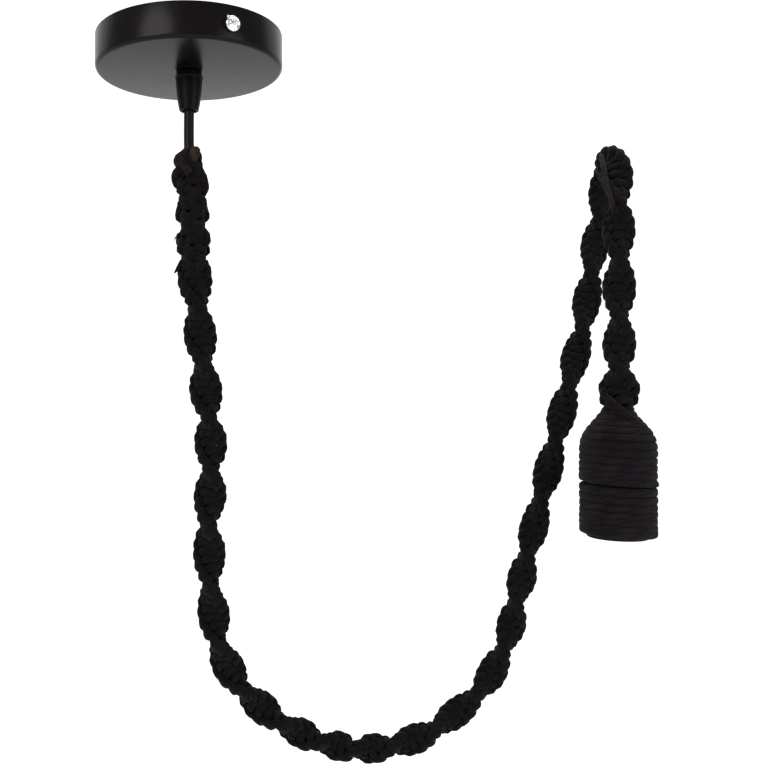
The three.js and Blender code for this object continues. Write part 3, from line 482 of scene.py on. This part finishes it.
def band_turn(travel):
    """How far the band has turned, in radians, at each distance along the flex."""
    bulges = np.array(COVER_BULGES) * MM
    first, last = bulges[1] - bulges[0], bulges[-1] - bulges[-2]
    marks = np.concatenate([[bulges[0] - 3 * first], bulges, [bulges[-1] + 3 * last]])
    half_turns = np.concatenate([[-3], np.arange(len(bulges)), [len(bulges) + 2]])
    return math.pi * np.interp(travel, marks, half_turns)


def line_mesh(name, points, **attributes):
    """A mesh of one open chain of edges, with values at its points."""
    mesh = bpy.data.meshes.new(name)
    mesh.from_pydata([tuple(p) for p in points], [(i, i + 1) for i in range(len(points) - 1)], [])
    for label, values in attributes.items():
        values = np.array(values, np.float32)
        kind, field = ("FLOAT_VECTOR", "vector") if values.ndim == 2 else ("FLOAT", "value")
        mesh.attributes.new(label, kind, "POINT").data.foreach_set(field, values.ravel())
    return mesh


def knot_tree():
    """A strand's path: the half knot's outline is set along the route, knot after knot."""
    tree, given, keys = new_tree(
        "Half knots", ("Pattern", "Object"), ("Side", "Float"), ("Start", "Float"), ("Pitch", "Float"),
        ("Knots", "Int"), ("Steps", "Int"), ("Radius", "Float"), ("Lay", "Float"), ("Slack", "Float"),
        ("Seed", "Int"))
    net = given["Geometry"]
    route = net.node("GeometryNodeMeshToCurve", {}, {"Mesh": net})
    pattern = net.node("GeometryNodeObjectInfo", {}, {"Object": given["Pattern"]}, "Geometry")
    pattern = net.node("GeometryNodeMeshToCurve", {}, {"Mesh": pattern})
    pattern = net.node("GeometryNodeCurveSplineType", {"spline_type": "CATMULL_ROM"}, {"Curve": pattern})
    count = given["Knots"] * given["Steps"] + 1
    strand = net.node("GeometryNodeMeshLine", {}, {"Count": count, "Offset": (0, 0, 0)})
    knots = net.node("GeometryNodeInputIndex", {}, {}) / given["Steps"]
    knot = net.math("FLOOR", knots)
    share = knots - knot
    side = given["Side"] * (1 - 2 * net.math("MODULO", knot, 2.0))
    shape = net.node("GeometryNodeSampleCurve", {"mode": "FACTOR", "data_type": "FLOAT_VECTOR"}, {
        "Curves": pattern, "Value": named(net, "state", "FLOAT_VECTOR"), "Factor": share}, "Position")
    state = net.node("ShaderNodeSeparateXYZ", {}, {"Vector": shape.beside("Value")})
    press, size = (state.beside(axis) for axis in "XY")
    parts = net.node("ShaderNodeSeparateXYZ", {}, {"Vector": shape})
    across, out, down = (parts.beside(axis) for axis in "XYZ")
    travel = given["Start"] + given["Pitch"] * (knot + down / MM)

    def at(name, kind):
        return net.node("GeometryNodeSampleCurve", {"mode": "LENGTH", "data_type": kind},
                        {"Curves": route, "Value": named(net, name, kind), "Length": travel})

    front = at("front", "FLOAT_VECTOR")
    square = at("square", "FLOAT_VECTOR")
    turn = at("turn", "FLOAT")
    place = turn.beside("Position")
    form = net.node("ShaderNodeSeparateXYZ", {}, {"Vector": at("form", "FLOAT_VECTOR")})
    broad, deep, full = (form.beside(axis) for axis in "XYZ")
    left = net.vector("ADD", front.times(net.math("SINE", turn)), square.times(net.math("COSINE", turn)))
    face = net.vector("SUBTRACT", front.times(net.math("COSINE", turn)), square.times(net.math("SINE", turn)))
    away = net.vector("SUBTRACT", face.times(out * side * deep), left.times(across * side * broad))
    loose = net.node("ShaderNodeTexNoise", {"noise_dimensions": "4D"}, {
        "Vector": net.vector("ADD", place, away), "W": given["Seed"], "Scale": 85, "Detail": 1.0}, "Color")
    loose = net.vector("SUBTRACT", loose, (0.5, 0.5, 0.5)).times(given["Slack"])
    spot = net.vector("ADD", net.vector("ADD", place, away), loose)
    strand = net.node("GeometryNodeSetPosition", {}, {"Geometry": strand, "Position": spot})
    strand = stored(strand, "out", "FLOAT_VECTOR", net.vector("NORMALIZE", away))
    strand = stored(strand, "press", "FLOAT", press)
    # A little painted shade on the strands' sides.
    strand = stored(strand, "flank", "FLOAT", 0.35)
    strand = stored(strand, "full", "FLOAT", full * size)
    strand = net.node("GeometryNodeMeshToCurve", {}, {"Mesh": strand})
    use_rope(net, strand, given, shaded_black_rope, sides=18, groove=0.1, square=2.2)
    return tree, keys


cover_tree, cover_keys = knot_tree()
flex_fronts, flex_squares = frames_along(flex_line, (0, -1, 0))
form_places, *form_shares = np.array(BAND_FORM).T
band_form = np.stack([np.interp(flex_travel, form_places * MM, share) for share in form_shares], axis=1)
pattern_mesh = line_mesh("half_knot_pattern", [(u * MM, v * MM, w * MM) for u, v, w, *_ in HALF_KNOT],
                         state=[(press, size, 0) for *_, press, size in HALF_KNOT])
pattern = bpy.data.objects.new("half_knot_pattern", pattern_mesh)


def tie_strands(name, start, pitch, knots):
    """The two strands of a row of half knots that begins at a place along the flex."""
    tied = []
    for number, side in enumerate((1.0, -1.0), start=1):
        base = line_mesh("route", flex_line, front=flex_fronts, square=flex_squares, form=band_form,
                         turn=band_turn(flex_travel))
        tied.append(build(
            f"{name}_{number}", cover_tree, cover_keys, base, Pattern=pattern, Side=side, Start=start,
            Pitch=pitch, Knots=knots, Steps=KNOT_STEPS, Radius=STRAND_RADIUS, Lay=STRAND_LAY,
            Slack=STRAND_SLACK, Seed=number))
    return tied


cover_end = flex_length - END_CLEARANCE - END_KNOTS * KNOT_PITCH
knot_count = 2 * round((cover_end - COVER_START) / KNOT_PITCH / 2)
cover_pitch = (cover_end - COVER_START) / knot_count
strands = tie_strands("knotting_strand", COVER_START, cover_pitch, knot_count)
end_strands = tie_strands("end_knot_strand", cover_end, KNOT_PITCH, END_KNOTS)
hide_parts("knotted_cover")
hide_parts("end_knot")
bpy.data.objects.remove(pattern)


# Loose ends of the same rope, held by the knots: at the top of the cover the brown cores of two cut
# strands, a grey end and two slack loops, lower down three frayed tufts, in the fold one strand that
# is pulled slack, and the tail of the end knot, which runs down to the winding.
brown_rope = finish("brown_rope", rope_surface(shade(0.012, 0.006, 0.004), shade(0.064, 0.037, 0.025)))
tan_rope = finish("tan_rope", rope_surface(shade(0.006, 0.0035, 0.003), shade(0.025, 0.0165, 0.0135)))
faded_rope = finish("faded_rope", rope_surface(shade(0.006, 0.004, 0.0042), shade(0.034, 0.026, 0.028)))

# Each strand's radius in mm, its finish, and its points: x, y, z in mm and a share of the radius.
LOOSE_STRANDS = [
    ("cut_end_1", 3.1, brown_rope, [
        (1.2, -5.2, -82.4, 0.75), (3, -7.6, -78.6, 0.98), (3.9, -8.4, -75.3, 1.08),
        (4.6, -6.6, -73.6, 0.95), (4.7, -4.2, -74.2, 0.5)]),
    ("cut_end_2", 2.9, tan_rope, [
        (-1, -3.4, -73.6, 0.5), (-2, -6, -74.4, 0.95), (-3, -7.6, -78.2, 1),
        (-2, -8.6, -83.6, 1), (1.2, -8, -88, 0.85)]),
    ("cut_end_3", 2.9, faded_rope, [
        (-3, -4.4, -84.2, 0.8), (-5.6, -5.2, -82, 1.05), (-6.5, -4.6, -79, 1.1),
        (-5.2, -3.6, -76.4, 0.9), (-2.6, -2.6, -77, 0.5)]),
    ("slack_loop_1", 2.8, shaded_black_rope, [
        (-1.2, -7, -84.6, 0.7), (-5.4, -6, -85.4, 1), (-7.8, -3.6, -88.4, 1.15),
        (-7.2, -1.6, -93.4, 1.1), (-3, -3, -96, 0.8)]),
    ("slack_loop_2", 2.5, shaded_black_rope, [
        (1.4, -8.2, -82, 0.7), (5.6, -6.8, -84, 1), (8.8, -4.4, -89.6, 1.1),
        (10.2, -2, -96, 1.1), (8, -0.6, -101.6, 0.8)]),
    ("frayed_tuft_1", 1.7, shaded_black_rope, [
        (-4, -2, -143, 1), (-6.6, -2.6, -147.6, 0.9), (-9.7, -2.8, -151.4, 0.08)]),
    ("frayed_tuft_2", 1.7, shaded_black_rope, [
        (10.6, -2, -143, 1), (12.4, -2.6, -148, 0.8), (14.6, -2.8, -152.4, 0.08)]),
    ("frayed_tuft_3", 0.5, faded_rope, [
        (-6, -2, -126.4, 1), (-8.4, -2.4, -128, 0.9), (-9.4, -2.6, -130.6, 0.1)]),
    ("fold_strand", 1.5, faded_rope, [
        (264, -4, -75.4, 0.7), (261.6, -11, -80, 1), (260, -18, -88, 1),
        (260, -21.6, -97, 1), (261.9, -23.6, -107, 1), (264.6, -22.6, -113, 0.7)]),
    ("end_knot_tail", 2.5, shaded_black_rope, [
        (258.6, -22.6, -229, 0.7), (261.1, -26, -233.6, 1), (267.3, -28, -239.3, 1.05),
        (273.6, -29.2, -245.2, 1), (278, -28.4, -248.6, 0.75)]),
]


def strand_tree():
    """One loose strand: a smooth line through its points, as a laid rope that may thin out."""
    tree, given, keys = new_tree(
        "Loose strand", ("Radius", "Float"), ("Lay", "Float"), ("Material", "Material"))
    line = given["Geometry"].node("GeometryNodeMeshToCurve", {}, {"Mesh": given["Geometry"]})
    line = line.node("GeometryNodeCurveSplineType", {"spline_type": "CATMULL_ROM"}, {"Curve": line})
    line = line.node("GeometryNodeResampleCurve", {"mode": "LENGTH"}, {"Curve": line, "Length": 0.6 * MM})
    use_rope(line, line, given, given["Material"], sides=20, groove=0.1, square=2.1)
    return tree, keys


loose_tree, loose_keys = strand_tree()
for name, radius, material, points in LOOSE_STRANDS:
    places = [(x * MM, y * MM, z * MM) for x, y, z, _ in points]
    base = line_mesh(name, places, out=[(0, -1, 0)] * len(points), press=[0.1] * len(points),
                     full=[full for *_, full in points])
    build(name, loose_tree, loose_keys, base, Radius=radius * MM, Lay=STRAND_LAY / 2,
                               Material=material)


# Studio, which isn't part of the object: a pale floor that runs up into a backdrop, a soft key lamp
# on the left, a fill lamp on the right and one from above.
FLOOR_HEIGHT = -0.9
BACKDROP_PLACE = 2.2
STAGE_REACH = 6.0
STAGE_BEND = 0.8
BEND_STEPS = 12


def stage_surface(net):
    """Pale paper that takes shadows, and shows white by itself and in what is glossy or clear."""
    rays = net.node("ShaderNodeLightPath", {}, {}, "Is Camera Ray")
    rays = rays + rays.beside("Is Glossy Ray") + rays.beside("Is Transmission Ray")
    seen = net.math("MINIMUM", rays, 1.0)
    lit = net.node("ShaderNodeBsdfDiffuse", {}, {"Color": shade(0.8)})
    glow = net.node("ShaderNodeEmission", {}, {"Color": shade(1.0), "Strength": 0.75 * seen})
    return net.node("ShaderNodeAddShader", {}, {0: lit, 1: glow})


floor_mesh = bmesh.new()
profile = [(-STAGE_REACH, FLOOR_HEIGHT)]
for step in range(BEND_STEPS + 1):
    angle = math.radians(90 * step / BEND_STEPS)
    profile.append((BACKDROP_PLACE - STAGE_BEND * (1 - math.sin(angle)),
                    FLOOR_HEIGHT + STAGE_BEND * (1 - math.cos(angle))))
profile.append((BACKDROP_PLACE, STAGE_REACH))
edges = [[floor_mesh.verts.new((x, y, z)) for y, z in profile] for x in (-STAGE_REACH, STAGE_REACH)]
for left, right, next_left, next_right in zip(edges[0], edges[1], edges[0][1:], edges[1][1:]):
    floor_mesh.faces.new((left, right, next_right, next_left)).smooth = True
floor = bpy.data.objects.new("floor", bpy.data.meshes.new("floor"))
floor_mesh.to_mesh(floor.data)
floor.data.materials.append(finish("stage_paper", stage_surface))
bpy.context.scene.collection.objects.link(floor)

world = bpy.data.worlds.new("studio")
world.use_nodes = True
world.node_tree.nodes.clear()
room = Wire(world.node_tree)
room_way = room.node("ShaderNodeTexCoord", {}, {}, "Generated")
room_way = room.node("ShaderNodeSeparateXYZ", {}, {"Vector": room_way}, "Z")
room_seen = room.node("ShaderNodeLightPath", {}, {}, "Is Camera Ray")
room_light = room.math("MAXIMUM", 0.42 - 0.25 * room_way, 0.3)
room_light = room_light + room_seen * (1 - room_light)
backing = room.node("ShaderNodeBackground", {}, {"Color": shade(1.0), "Strength": room_light})
room.node("ShaderNodeOutputWorld", {}, {"Surface": backing})
bpy.context.scene.world = world

# Each lamp's name, its place and size in metres, and its power in watts.
LAMPS = [
    ("key_lamp", (-0.95, -1.35, 0.45), 1.1, 17),
    ("fill_lamp", (1.35, -1.0, 0.1), 0.9, 7),
    ("top_lamp", (0.1, 0.25, 1.3), 1.0, 9),
]
LAMP_TARGET = Vector((0.12, 0, -0.22))
for name, place, size, power in LAMPS:
    lamp = bpy.data.objects.new(name, bpy.data.lights.new(name, "AREA"))
    lamp.data.shape = "DISK"
    lamp.data.size = size
    lamp.data.energy = power
    lamp.location = place
    lamp.rotation_euler = (LAMP_TARGET - Vector(place)).to_track_quat("-Z", "Y").to_euler()
    lamp.visible_camera = False
    bpy.context.scene.collection.objects.link(lamp)


# Ceiling canopy: one steel cup, pressed with a rounded edge and powder-coated satin black. Its rim
# meets the ceiling, and two side screws hold it on the bracket inside it.
CANOPY_RADIUS = 60 * MM
CANOPY_HEIGHT = 21.4 * MM
CANOPY_SHEET = 1 * MM
CANOPY_EDGE = 2.5 * MM
CANOPY_LIP = 0.3 * MM
CANOPY_HOLE = 5.2 * MM


def arc(centre, radius, start, end, steps=8):
    """Points of an arc, from one angle in degrees to another."""
    angles = [math.radians(start + (end - start) * step / steps) for step in range(steps + 1)]
    return [(centre[0] + radius * math.cos(a), centre[1] + radius * math.sin(a)) for a in angles]


def turned(name, outline, material, sides):
    """A closed outline of radius and height, turned about the canopy's axis. It rides on the part."""
    shape = bmesh.new()
    rings = []
    for number in range(sides):
        angle = 2 * math.pi * number / sides
        rings.append([shape.verts.new((r * math.cos(angle), r * math.sin(angle), z)) for r, z in outline])
    for here, there in zip(rings, rings[1:] + rings[:1]):
        for k in range(len(outline)):
            following = (k + 1) % len(outline)
            corners = (here[k], there[k], there[following], here[following])
            shape.faces.new(corners).smooth = True
    bmesh.ops.remove_doubles(shape, verts=shape.verts, dist=1e-7)
    bmesh.ops.recalc_face_normals(shape, faces=shape.faces)
    mesh = bpy.data.meshes.new(name)
    shape.to_mesh(mesh)
    mesh.set_sharp_from_angle(angle=math.radians(30))
    mesh.materials.append(material)
    made = bpy.data.objects.new(name, mesh)
    bpy.context.scene.collection.objects.link(made)
    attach(made, "root")
    return made


canopy_paint = finish("canopy_paint", plain_surface(
    shade(0.0062, 0.005, 0.006), 0.26, 1400, 0.012 * MM, level=0.11))
edge_centre = (CANOPY_RADIUS - CANOPY_EDGE, CANOPY_EDGE - CANOPY_HEIGHT)
canopy = turned("canopy_cup", [
    (CANOPY_HOLE, -CANOPY_HEIGHT),
    *arc(edge_centre, CANOPY_EDGE, -90, 0),
    *arc((CANOPY_RADIUS - CANOPY_LIP, -CANOPY_LIP), CANOPY_LIP, 0, 90, 3),
    *arc((CANOPY_RADIUS - CANOPY_SHEET + CANOPY_LIP, -CANOPY_LIP), CANOPY_LIP, 90, 180, 3),
    *arc(edge_centre, CANOPY_EDGE - CANOPY_SHEET, 0, -90),
    (CANOPY_HOLE, CANOPY_SHEET - CANOPY_HEIGHT),
], canopy_paint, 192)
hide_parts("ceiling_canopy")


# Cord grip: a base and a nut, moulded in black plastic, clamp the canopy's plate between them. The
# tapered cap screws on to the base and closes a collet round the flex.
GRIP_SPIGOT = 6.2 * MM
GRIP_CAP_TOP = -24.4 * MM
GRIP_MOUTH = 4.6 * MM
GRIP_CLEARANCE = 0.3 * MM
grip_plastic = finish("grip_plastic", plain_surface(
    shade(0.0042, 0.0032, 0.0042), 0.42, 1200, 0.03 * MM, level=0.08))
flex_hole = FLEX_DIAMETER / 2 + GRIP_CLEARANCE
grip_cap = turned("grip_cap_shell", [
    (flex_hole, -42 * MM),
    (GRIP_MOUTH, -43.2 * MM),
    (GRIP_MOUTH, -45.9 * MM),
    *arc((GRIP_MOUTH + 0.4 * MM, -46 * MM), 0.4 * MM, 180, 270, 4),
    *arc((5.3 * MM, -45.3 * MM), 1.1 * MM, -90, 4, 6),
    (7.85 * MM, -37.4 * MM),
    (8.6 * MM, -25.8 * MM),
    *arc((9.0 * MM, -25.0 * MM), 0.35 * MM, -100, 100, 8),
    (8.3 * MM, GRIP_CAP_TOP),
    (GRIP_SPIGOT + GRIP_CLEARANCE, GRIP_CAP_TOP),
    (GRIP_SPIGOT + GRIP_CLEARANCE, -33.4 * MM),
    (flex_hole, -40 * MM),
], grip_plastic, 96)
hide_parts("cord_grip_cap")
grip_base = turned("grip_base_flange", [
    (flex_hole, -33 * MM),
    (GRIP_SPIGOT, -33 * MM),
    (GRIP_SPIGOT, -24.1 * MM),
    *arc((7.95 * MM, -23.8 * MM), 0.3 * MM, -90, 0, 4),
    *arc((7.95 * MM, -22.0 * MM), 0.3 * MM, 0, 90, 4),
    (4.9 * MM, -21.7 * MM),
    (4.9 * MM, -14 * MM),
    (flex_hole, -14 * MM),
], grip_plastic, 96)
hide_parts("cord_grip_base")


def dress(material, slot, *nodes):
    """Gives a finish to solids that keep their shape."""
    for node in nodes:
        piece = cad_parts[node]
        piece.data.materials.clear()
        piece.data.materials.append(material)


dress(grip_plastic, "black_plastic", "cord_grip_nut")


# Inside the canopy: a zinc-plated steel strap is screwed to the ceiling and takes the side screws.
# A nylon block with three brass barrels joins the cores, and the earth lead is screwed to the strap.
zinc = finish("zinc_steel", plain_surface(shade(0.46, 0.46, 0.45), 0.38, 500, 0.01 * MM, 0.1, 1.0))
chrome = finish("chrome", plain_surface(shade(0.82, 0.82, 0.83), 0.12, 900, 0.004 * MM, 0.03, 1.0))
brass = finish("brass", plain_surface(shade(0.56, 0.4, 0.17), 0.3, 700, 0.01 * MM, 0.12, 1.0))
nylon = finish("nylon", plain_surface(shade(0.62, 0.6, 0.53), 0.5, 600, 0.02 * MM, 0.05))
ways = ("live", "earth", "neutral")
dress(zinc, "zinc_steel", "ceiling_bracket", "terminal_block_screw",
      *(f"{way}_{part}_screw" for way in ways for part in ("clamp", "supply")))
dress(brass, "brass", "earth_screw", "earth_ring", *(f"{way}_barrel" for way in ways))
dress(nylon, "nylon", "terminal_block", "cord_grip_collet")
for way, colour in (("live", shade(0.16, 0.06, 0.02)), ("neutral", shade(0.02, 0.08, 0.32))):
    insulation = finish(f"{way}_insulation", plain_surface(colour, 0.4, 600, 0.01 * MM))
    dress(insulation, f"{way}_insulation", f"{way}_core_upper", f"{way}_core_lower")
green = finish("earth_insulation", plain_surface(shade(0.11, 0.27, 0.02), 0.4, 600, 0.01 * MM))
dress(green, "earth_insulation", "earth_lead")


# Side screws: two plated pan heads with a raised ring, a cross recess and a burr, each on a thin
# black disc that is painted shadow round the head. A pair stands on opposite sides of the wall, on
# one line through the canopy.
SCREW_DIRECTION = -62.4
SCREW_DROP = -11.4 * MM
SCREW_SECTORS = 120
SHANK_END = -8
CROSS_WIDTH = 0.55
CROSS_REACH = 2.7
CROSS_DEPTH = 1.1
BURR_PLACE = 133
BURR_SPREAD = 9
SHADOW_DISC_RADIUS = 5.3 * MM
SHADOW_DISC_THICKNESS = 0.8 * MM
SHADOW_DISC_OFFSET = (-0.45 * MM, 0.35 * MM)

# The head's form: radius and height in mm, from its middle to its edge, and the rim below that.
SCREW_FORM = [(0.0, 1.9), (2.9, 1.75), (3.25, 1.5), (3.45, 2.3), (3.75, 2.6), (4.2, 2.4), (4.6, 1.7)]
SCREW_RIM = (4.65, -0.3)


def screw_head(name):
    """A head that faces +Z: rings of points whose height is the form's, less the cross recess."""
    shape = bmesh.new()
    rim, seat = SCREW_RIM
    rings = []
    for radius in [*np.arange(0.2, 4.6, 0.2), rim]:
        height = np.interp(radius, *zip(*SCREW_FORM))
        ring = []
        for number in range(SCREW_SECTORS):
            angle = 2 * math.pi * number / SCREW_SECTORS
            burr = math.exp(-((math.degrees(angle) - BURR_PLACE) / BURR_SPREAD) ** 2)
            reach = radius * (1 + 0.2 * (radius / rim) ** 4 * burr)
            x, y = reach * math.cos(angle), reach * math.sin(angle)
            depth = 0
            for along, across in ((x, y), (y, x)):
                slot = np.clip(3.4 - 2 * abs(across) / CROSS_WIDTH, 0, 1)
                depth = max(depth, slot * np.clip((CROSS_REACH - abs(along)) / 0.3, 0, 1))
            ring.append(shape.verts.new((x * MM, y * MM, (height - CROSS_DEPTH * depth) * MM)))
        rings.append(ring)
    rings.append([shape.verts.new((v.co.x, v.co.y, seat * MM)) for v in rings[-1]])
    for height in (seat, SHANK_END):
        rings.append([shape.verts.new((v.co.x * 10, v.co.y * 10, height * MM)) for v in rings[0]])
    for inner, outer in zip(rings, rings[1:]):
        for k in range(SCREW_SECTORS):
            shape.faces.new((inner[k - 1], outer[k - 1], outer[k], inner[k])).smooth = True
    shape.faces.new(rings[0])
    shape.faces.new(rings[-1][::-1])
    bmesh.ops.recalc_face_normals(shape, faces=shape.faces)
    mesh = bpy.data.meshes.new(name)
    shape.to_mesh(mesh)
    mesh.set_sharp_from_angle(angle=math.radians(40))
    return mesh


def shadow_disc(name):
    """A thin black disc that faces +Z, a little off the screw's centre: painted shadow round the head."""
    shape = bmesh.new()
    bmesh.ops.create_cone(shape, cap_ends=True, segments=64, radius1=SHADOW_DISC_RADIUS,
                          radius2=SHADOW_DISC_RADIUS - 0.1 * MM, depth=SHADOW_DISC_THICKNESS)
    for vert in shape.verts:
        vert.co.x += SHADOW_DISC_OFFSET[0]
        vert.co.y += SHADOW_DISC_OFFSET[1]
    mesh = bpy.data.meshes.new(name)
    shape.to_mesh(mesh)
    return mesh


def pair_tree():
    """A mesh that faces +Z, set at a radius on both sides of the canopy's axis, facing outwards."""
    tree, given, keys = new_tree(
        "Opposite pair", ("Direction", "Float"), ("Radius", "Float"), ("Drop", "Float"),
        ("Material", "Material"))
    net = given["Geometry"]
    points = net.node("GeometryNodeMeshLine", {}, {"Count": 2, "Offset": (0, 0, 0)})
    angle = given["Direction"] + math.pi * net.node("GeometryNodeInputIndex", {}, {})
    place = net.node("ShaderNodeCombineXYZ", {}, {
        "X": given["Radius"] * net.math("COSINE", angle), "Y": given["Radius"] * net.math("SINE", angle),
        "Z": given["Drop"]})
    points = net.node("GeometryNodeSetPosition", {}, {"Geometry": points, "Position": place})
    turn = net.node("ShaderNodeCombineXYZ", {}, {"X": math.pi / 2, "Z": angle + math.pi / 2})
    turn = net.node("FunctionNodeEulerToRotation", {}, {"Euler": turn})
    pair = net.node("GeometryNodeInstanceOnPoints", {}, {"Points": points, "Instance": net, "Rotation": turn})
    pair = net.node("GeometryNodeRealizeInstances", {}, {"Geometry": pair})
    pair = net.node("GeometryNodeSetMaterial", {}, {"Geometry": pair, "Material": given["Material"]})
    net.node("NodeGroupOutput", {}, {"Geometry": pair})
    return tree, keys


pair, pair_keys = pair_tree()
pair_place = {"Radius": CANOPY_RADIUS, "Direction": math.radians(SCREW_DIRECTION), "Drop": SCREW_DROP}
# The discs' flat near-black finish is painted shadow round the screw heads.
fibre = finish("painted_shadow_black", plain_surface(shade(0.0018, 0.0014, 0.0018), 0.7, 900, 0.02 * MM, level=0.1))
heads = build("side_screw_heads", pair, pair_keys, screw_head("side_screw_head"), Material=chrome,
              **pair_place)
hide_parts("side_screw_front", "side_screw_rear")
shadow_discs = build("side_screw_washers", pair, pair_keys, shadow_disc("side_screw_shadow_disc"), Material=fibre,
                **pair_place)


# Lamp holder: two round shells, moulded in black plastic, screw together over a porcelain insert.
# The insert carries a brass lamp sleeve, a centre contact and a post for each core of the flex.
HOLDER_PLACE = (269.6 * MM, -16 * MM)
porcelain = finish("porcelain", plain_surface(shade(0.78, 0.76, 0.7), 0.22, 300, 0.02 * MM, 0.04, level=0.4))
# Black plastic like the grip's, painted darker: painted shade in the gap between the windings and on the
# lower rim.
shaded_holder_plastic = finish("shaded_holder_plastic", plain_surface(
    shade(0.002, 0.0018, 0.002), 0.6, 900, 0.02 * MM, level=0.12))
dress(shaded_holder_plastic, "black_plastic", "holder_cap", "holder_skirt")
dress(zinc, "zinc_steel", "holder_nipple", "holder_nipple_nut", "live_post_screw", "neutral_post_screw")
dress(porcelain, "porcelain", "holder_insert")
dress(brass, "brass", "lamp_sleeve", "centre_contact", "live_post", "neutral_post")


# Rope winding on the lamp holder: one rope down the upper shell and one down the lower, each a
# close helix that follows the shell's outline. Their ends meet at the back.
WOUND_RADIUS = 2.42 * MM
WOUND_CENTRE = 20.75 * MM
WOUND_LAY = 42 * MM
WOUND_STEP = 0.9 * MM
WOUND_SLACK = 0.8 * MM
SHELL_TOP = -243.2 * MM

# Towards the joint between the halves the rows open on the left, by at most this gap, over as many
# turns. The profile is sampled so finely, and its slope is smoothed over so many samples.
JOINT_GAP = 1.1 * MM
JOINT_TURNS = 2.5
PROFILE_SAMPLES = 400
SLOPE_SPAN = 25

# Where the rope's end lies at the joint, in degrees, its turns, its outline as radius and height in
# mm below the shell's top, and the share of the turns at each point of that, or None if it's even.
WRAPS = {
    "upper": (86, 11.2, [(7.2, 5.4), (8.4, 2.2), (10.4, -0.4), (15.0, -5.8), (17.7, -9.4), (19.7, -13.6),
                         (20.75, -19.5), (20.75, -41.7)], None),
    "lower": (94, 6.796, [(20.75, -42.3), (20.75, -57.2), (20.75, -69.0), (20.75, -71.6)],
              [0, 0.441, 0.883, 1]),
}


def winding_tree():
    """A helix down a profile, as a laid rope. The profile's X is a radius and its Z a height, and its
    long, even Y makes a share of its length a share of the turns."""
    tree, given, keys = new_tree(
        "Rope winding", ("Centre", "Vector"), ("Turns", "Float"), ("Count", "Int"), ("Angle", "Float"),
        ("Radius", "Float"), ("Lay", "Float"), ("Slack", "Float"))
    net = given["Geometry"]
    outline = net.node("GeometryNodeMeshToCurve", {}, {"Mesh": net})
    line = net.node("GeometryNodeMeshLine", {}, {"Count": given["Count"], "Offset": (0, 0, 0)})
    share = net.node("GeometryNodeInputIndex", {}, {}) / (given["Count"] - 1)
    spot = net.node("GeometryNodeSampleCurve", {"mode": "FACTOR", "data_type": "FLOAT"},
                    {"Curves": outline, "Value": named(net, "lean", "FLOAT"), "Factor": share}, "Position")
    lean = spot.beside("Value")
    parts = net.node("ShaderNodeSeparateXYZ", {}, {"Vector": spot})
    radius, height = (parts.beside(axis) for axis in "XZ")
    angle = given["Angle"] + 2 * math.pi * given["Turns"] * share
    out = net.node("ShaderNodeCombineXYZ", {}, {"X": net.math("COSINE", angle), "Y": net.math("SINE", angle)})
    normal = net.vector("ADD", out.times(net.math("COSINE", lean)),
                        net.node("ShaderNodeCombineXYZ", {}, {"Z": net.math("SINE", lean)}))
    up = net.node("ShaderNodeCombineXYZ", {}, {"Z": height})
    place = net.vector("ADD", net.vector("ADD", given["Centre"], up), out.times(radius))
    loose = net.node("ShaderNodeTexNoise", {}, {"Vector": place, "Scale": 90, "Detail": 1.0}, "Color")
    loose = net.vector("SUBTRACT", loose, (0.5, 0.5, 0.5)).times(given["Slack"])
    line = net.node("GeometryNodeSetPosition", {},
                    {"Geometry": line, "Position": net.vector("ADD", place, loose)})
    line = stored(line, "out", "FLOAT_VECTOR", normal)
    line = stored(line, "press", "FLOAT", 0.16)
    # Full painted shade on the sides of the rows.
    line = stored(line, "flank", "FLOAT", 1.0)
    line = stored(line, "full", "FLOAT", (0.94 + 0.12 * grain(net, place, 70, 1.0)) * (1 + 0.2 * lean))
    line = net.node("GeometryNodeMeshToCurve", {}, {"Mesh": line})
    use_rope(net, line, given, black_rope, sides=24, groove=0.09, square=3.0)
    return tree, keys


winding, winding_keys = winding_tree()
for name, (joint, turns, outline, shares) in WRAPS.items():
    shape = np.array(outline) * MM
    reach = np.append(0, np.cumsum(np.linalg.norm(np.diff(shape, axis=0), axis=1)))
    share = np.linspace(0, 1, PROFILE_SAMPLES)
    far = np.interp(share, shares or reach / reach[-1], reach)
    radii, heights = (np.interp(far, reach, shape[:, axis]) for axis in (0, 1))

    # The lower rope starts at the joint and the upper one ends there.
    from_joint = turns * (share if name == "lower" else share - 1)
    angles = math.radians(joint) + 2 * math.pi * from_joint
    open_left = JOINT_GAP * np.clip(1 - abs(from_joint) / JOINT_TURNS, 0, 1) * (0.72 - 0.72 * np.cos(angles))
    heights = heights + (open_left if name == "upper" else -0.35 * open_left)
    slope = np.arctan2(np.gradient(radii), -np.gradient(heights))
    slope = np.pad(slope, SLOPE_SPAN // 2, "edge")
    lean = np.convolve(slope, np.ones(SLOPE_SPAN) / SLOPE_SPAN, "valid")
    points = [(r, 10 * s, SHELL_TOP + z) for r, s, z in zip(radii, share, heights)]
    count = round(turns * 2 * math.pi * WOUND_CENTRE / WOUND_STEP)
    wrap = build(f"{name}_wound_rope", winding, winding_keys, line_mesh("outline", points, lean=lean),
                 Centre=(*HOLDER_PLACE, 0), Turns=turns, Count=count, Angle=float(angles[0]),
                 Radius=WOUND_RADIUS, Lay=WOUND_LAY, Slack=WOUND_SLACK)
    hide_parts(f"{name}_rope_wrap")
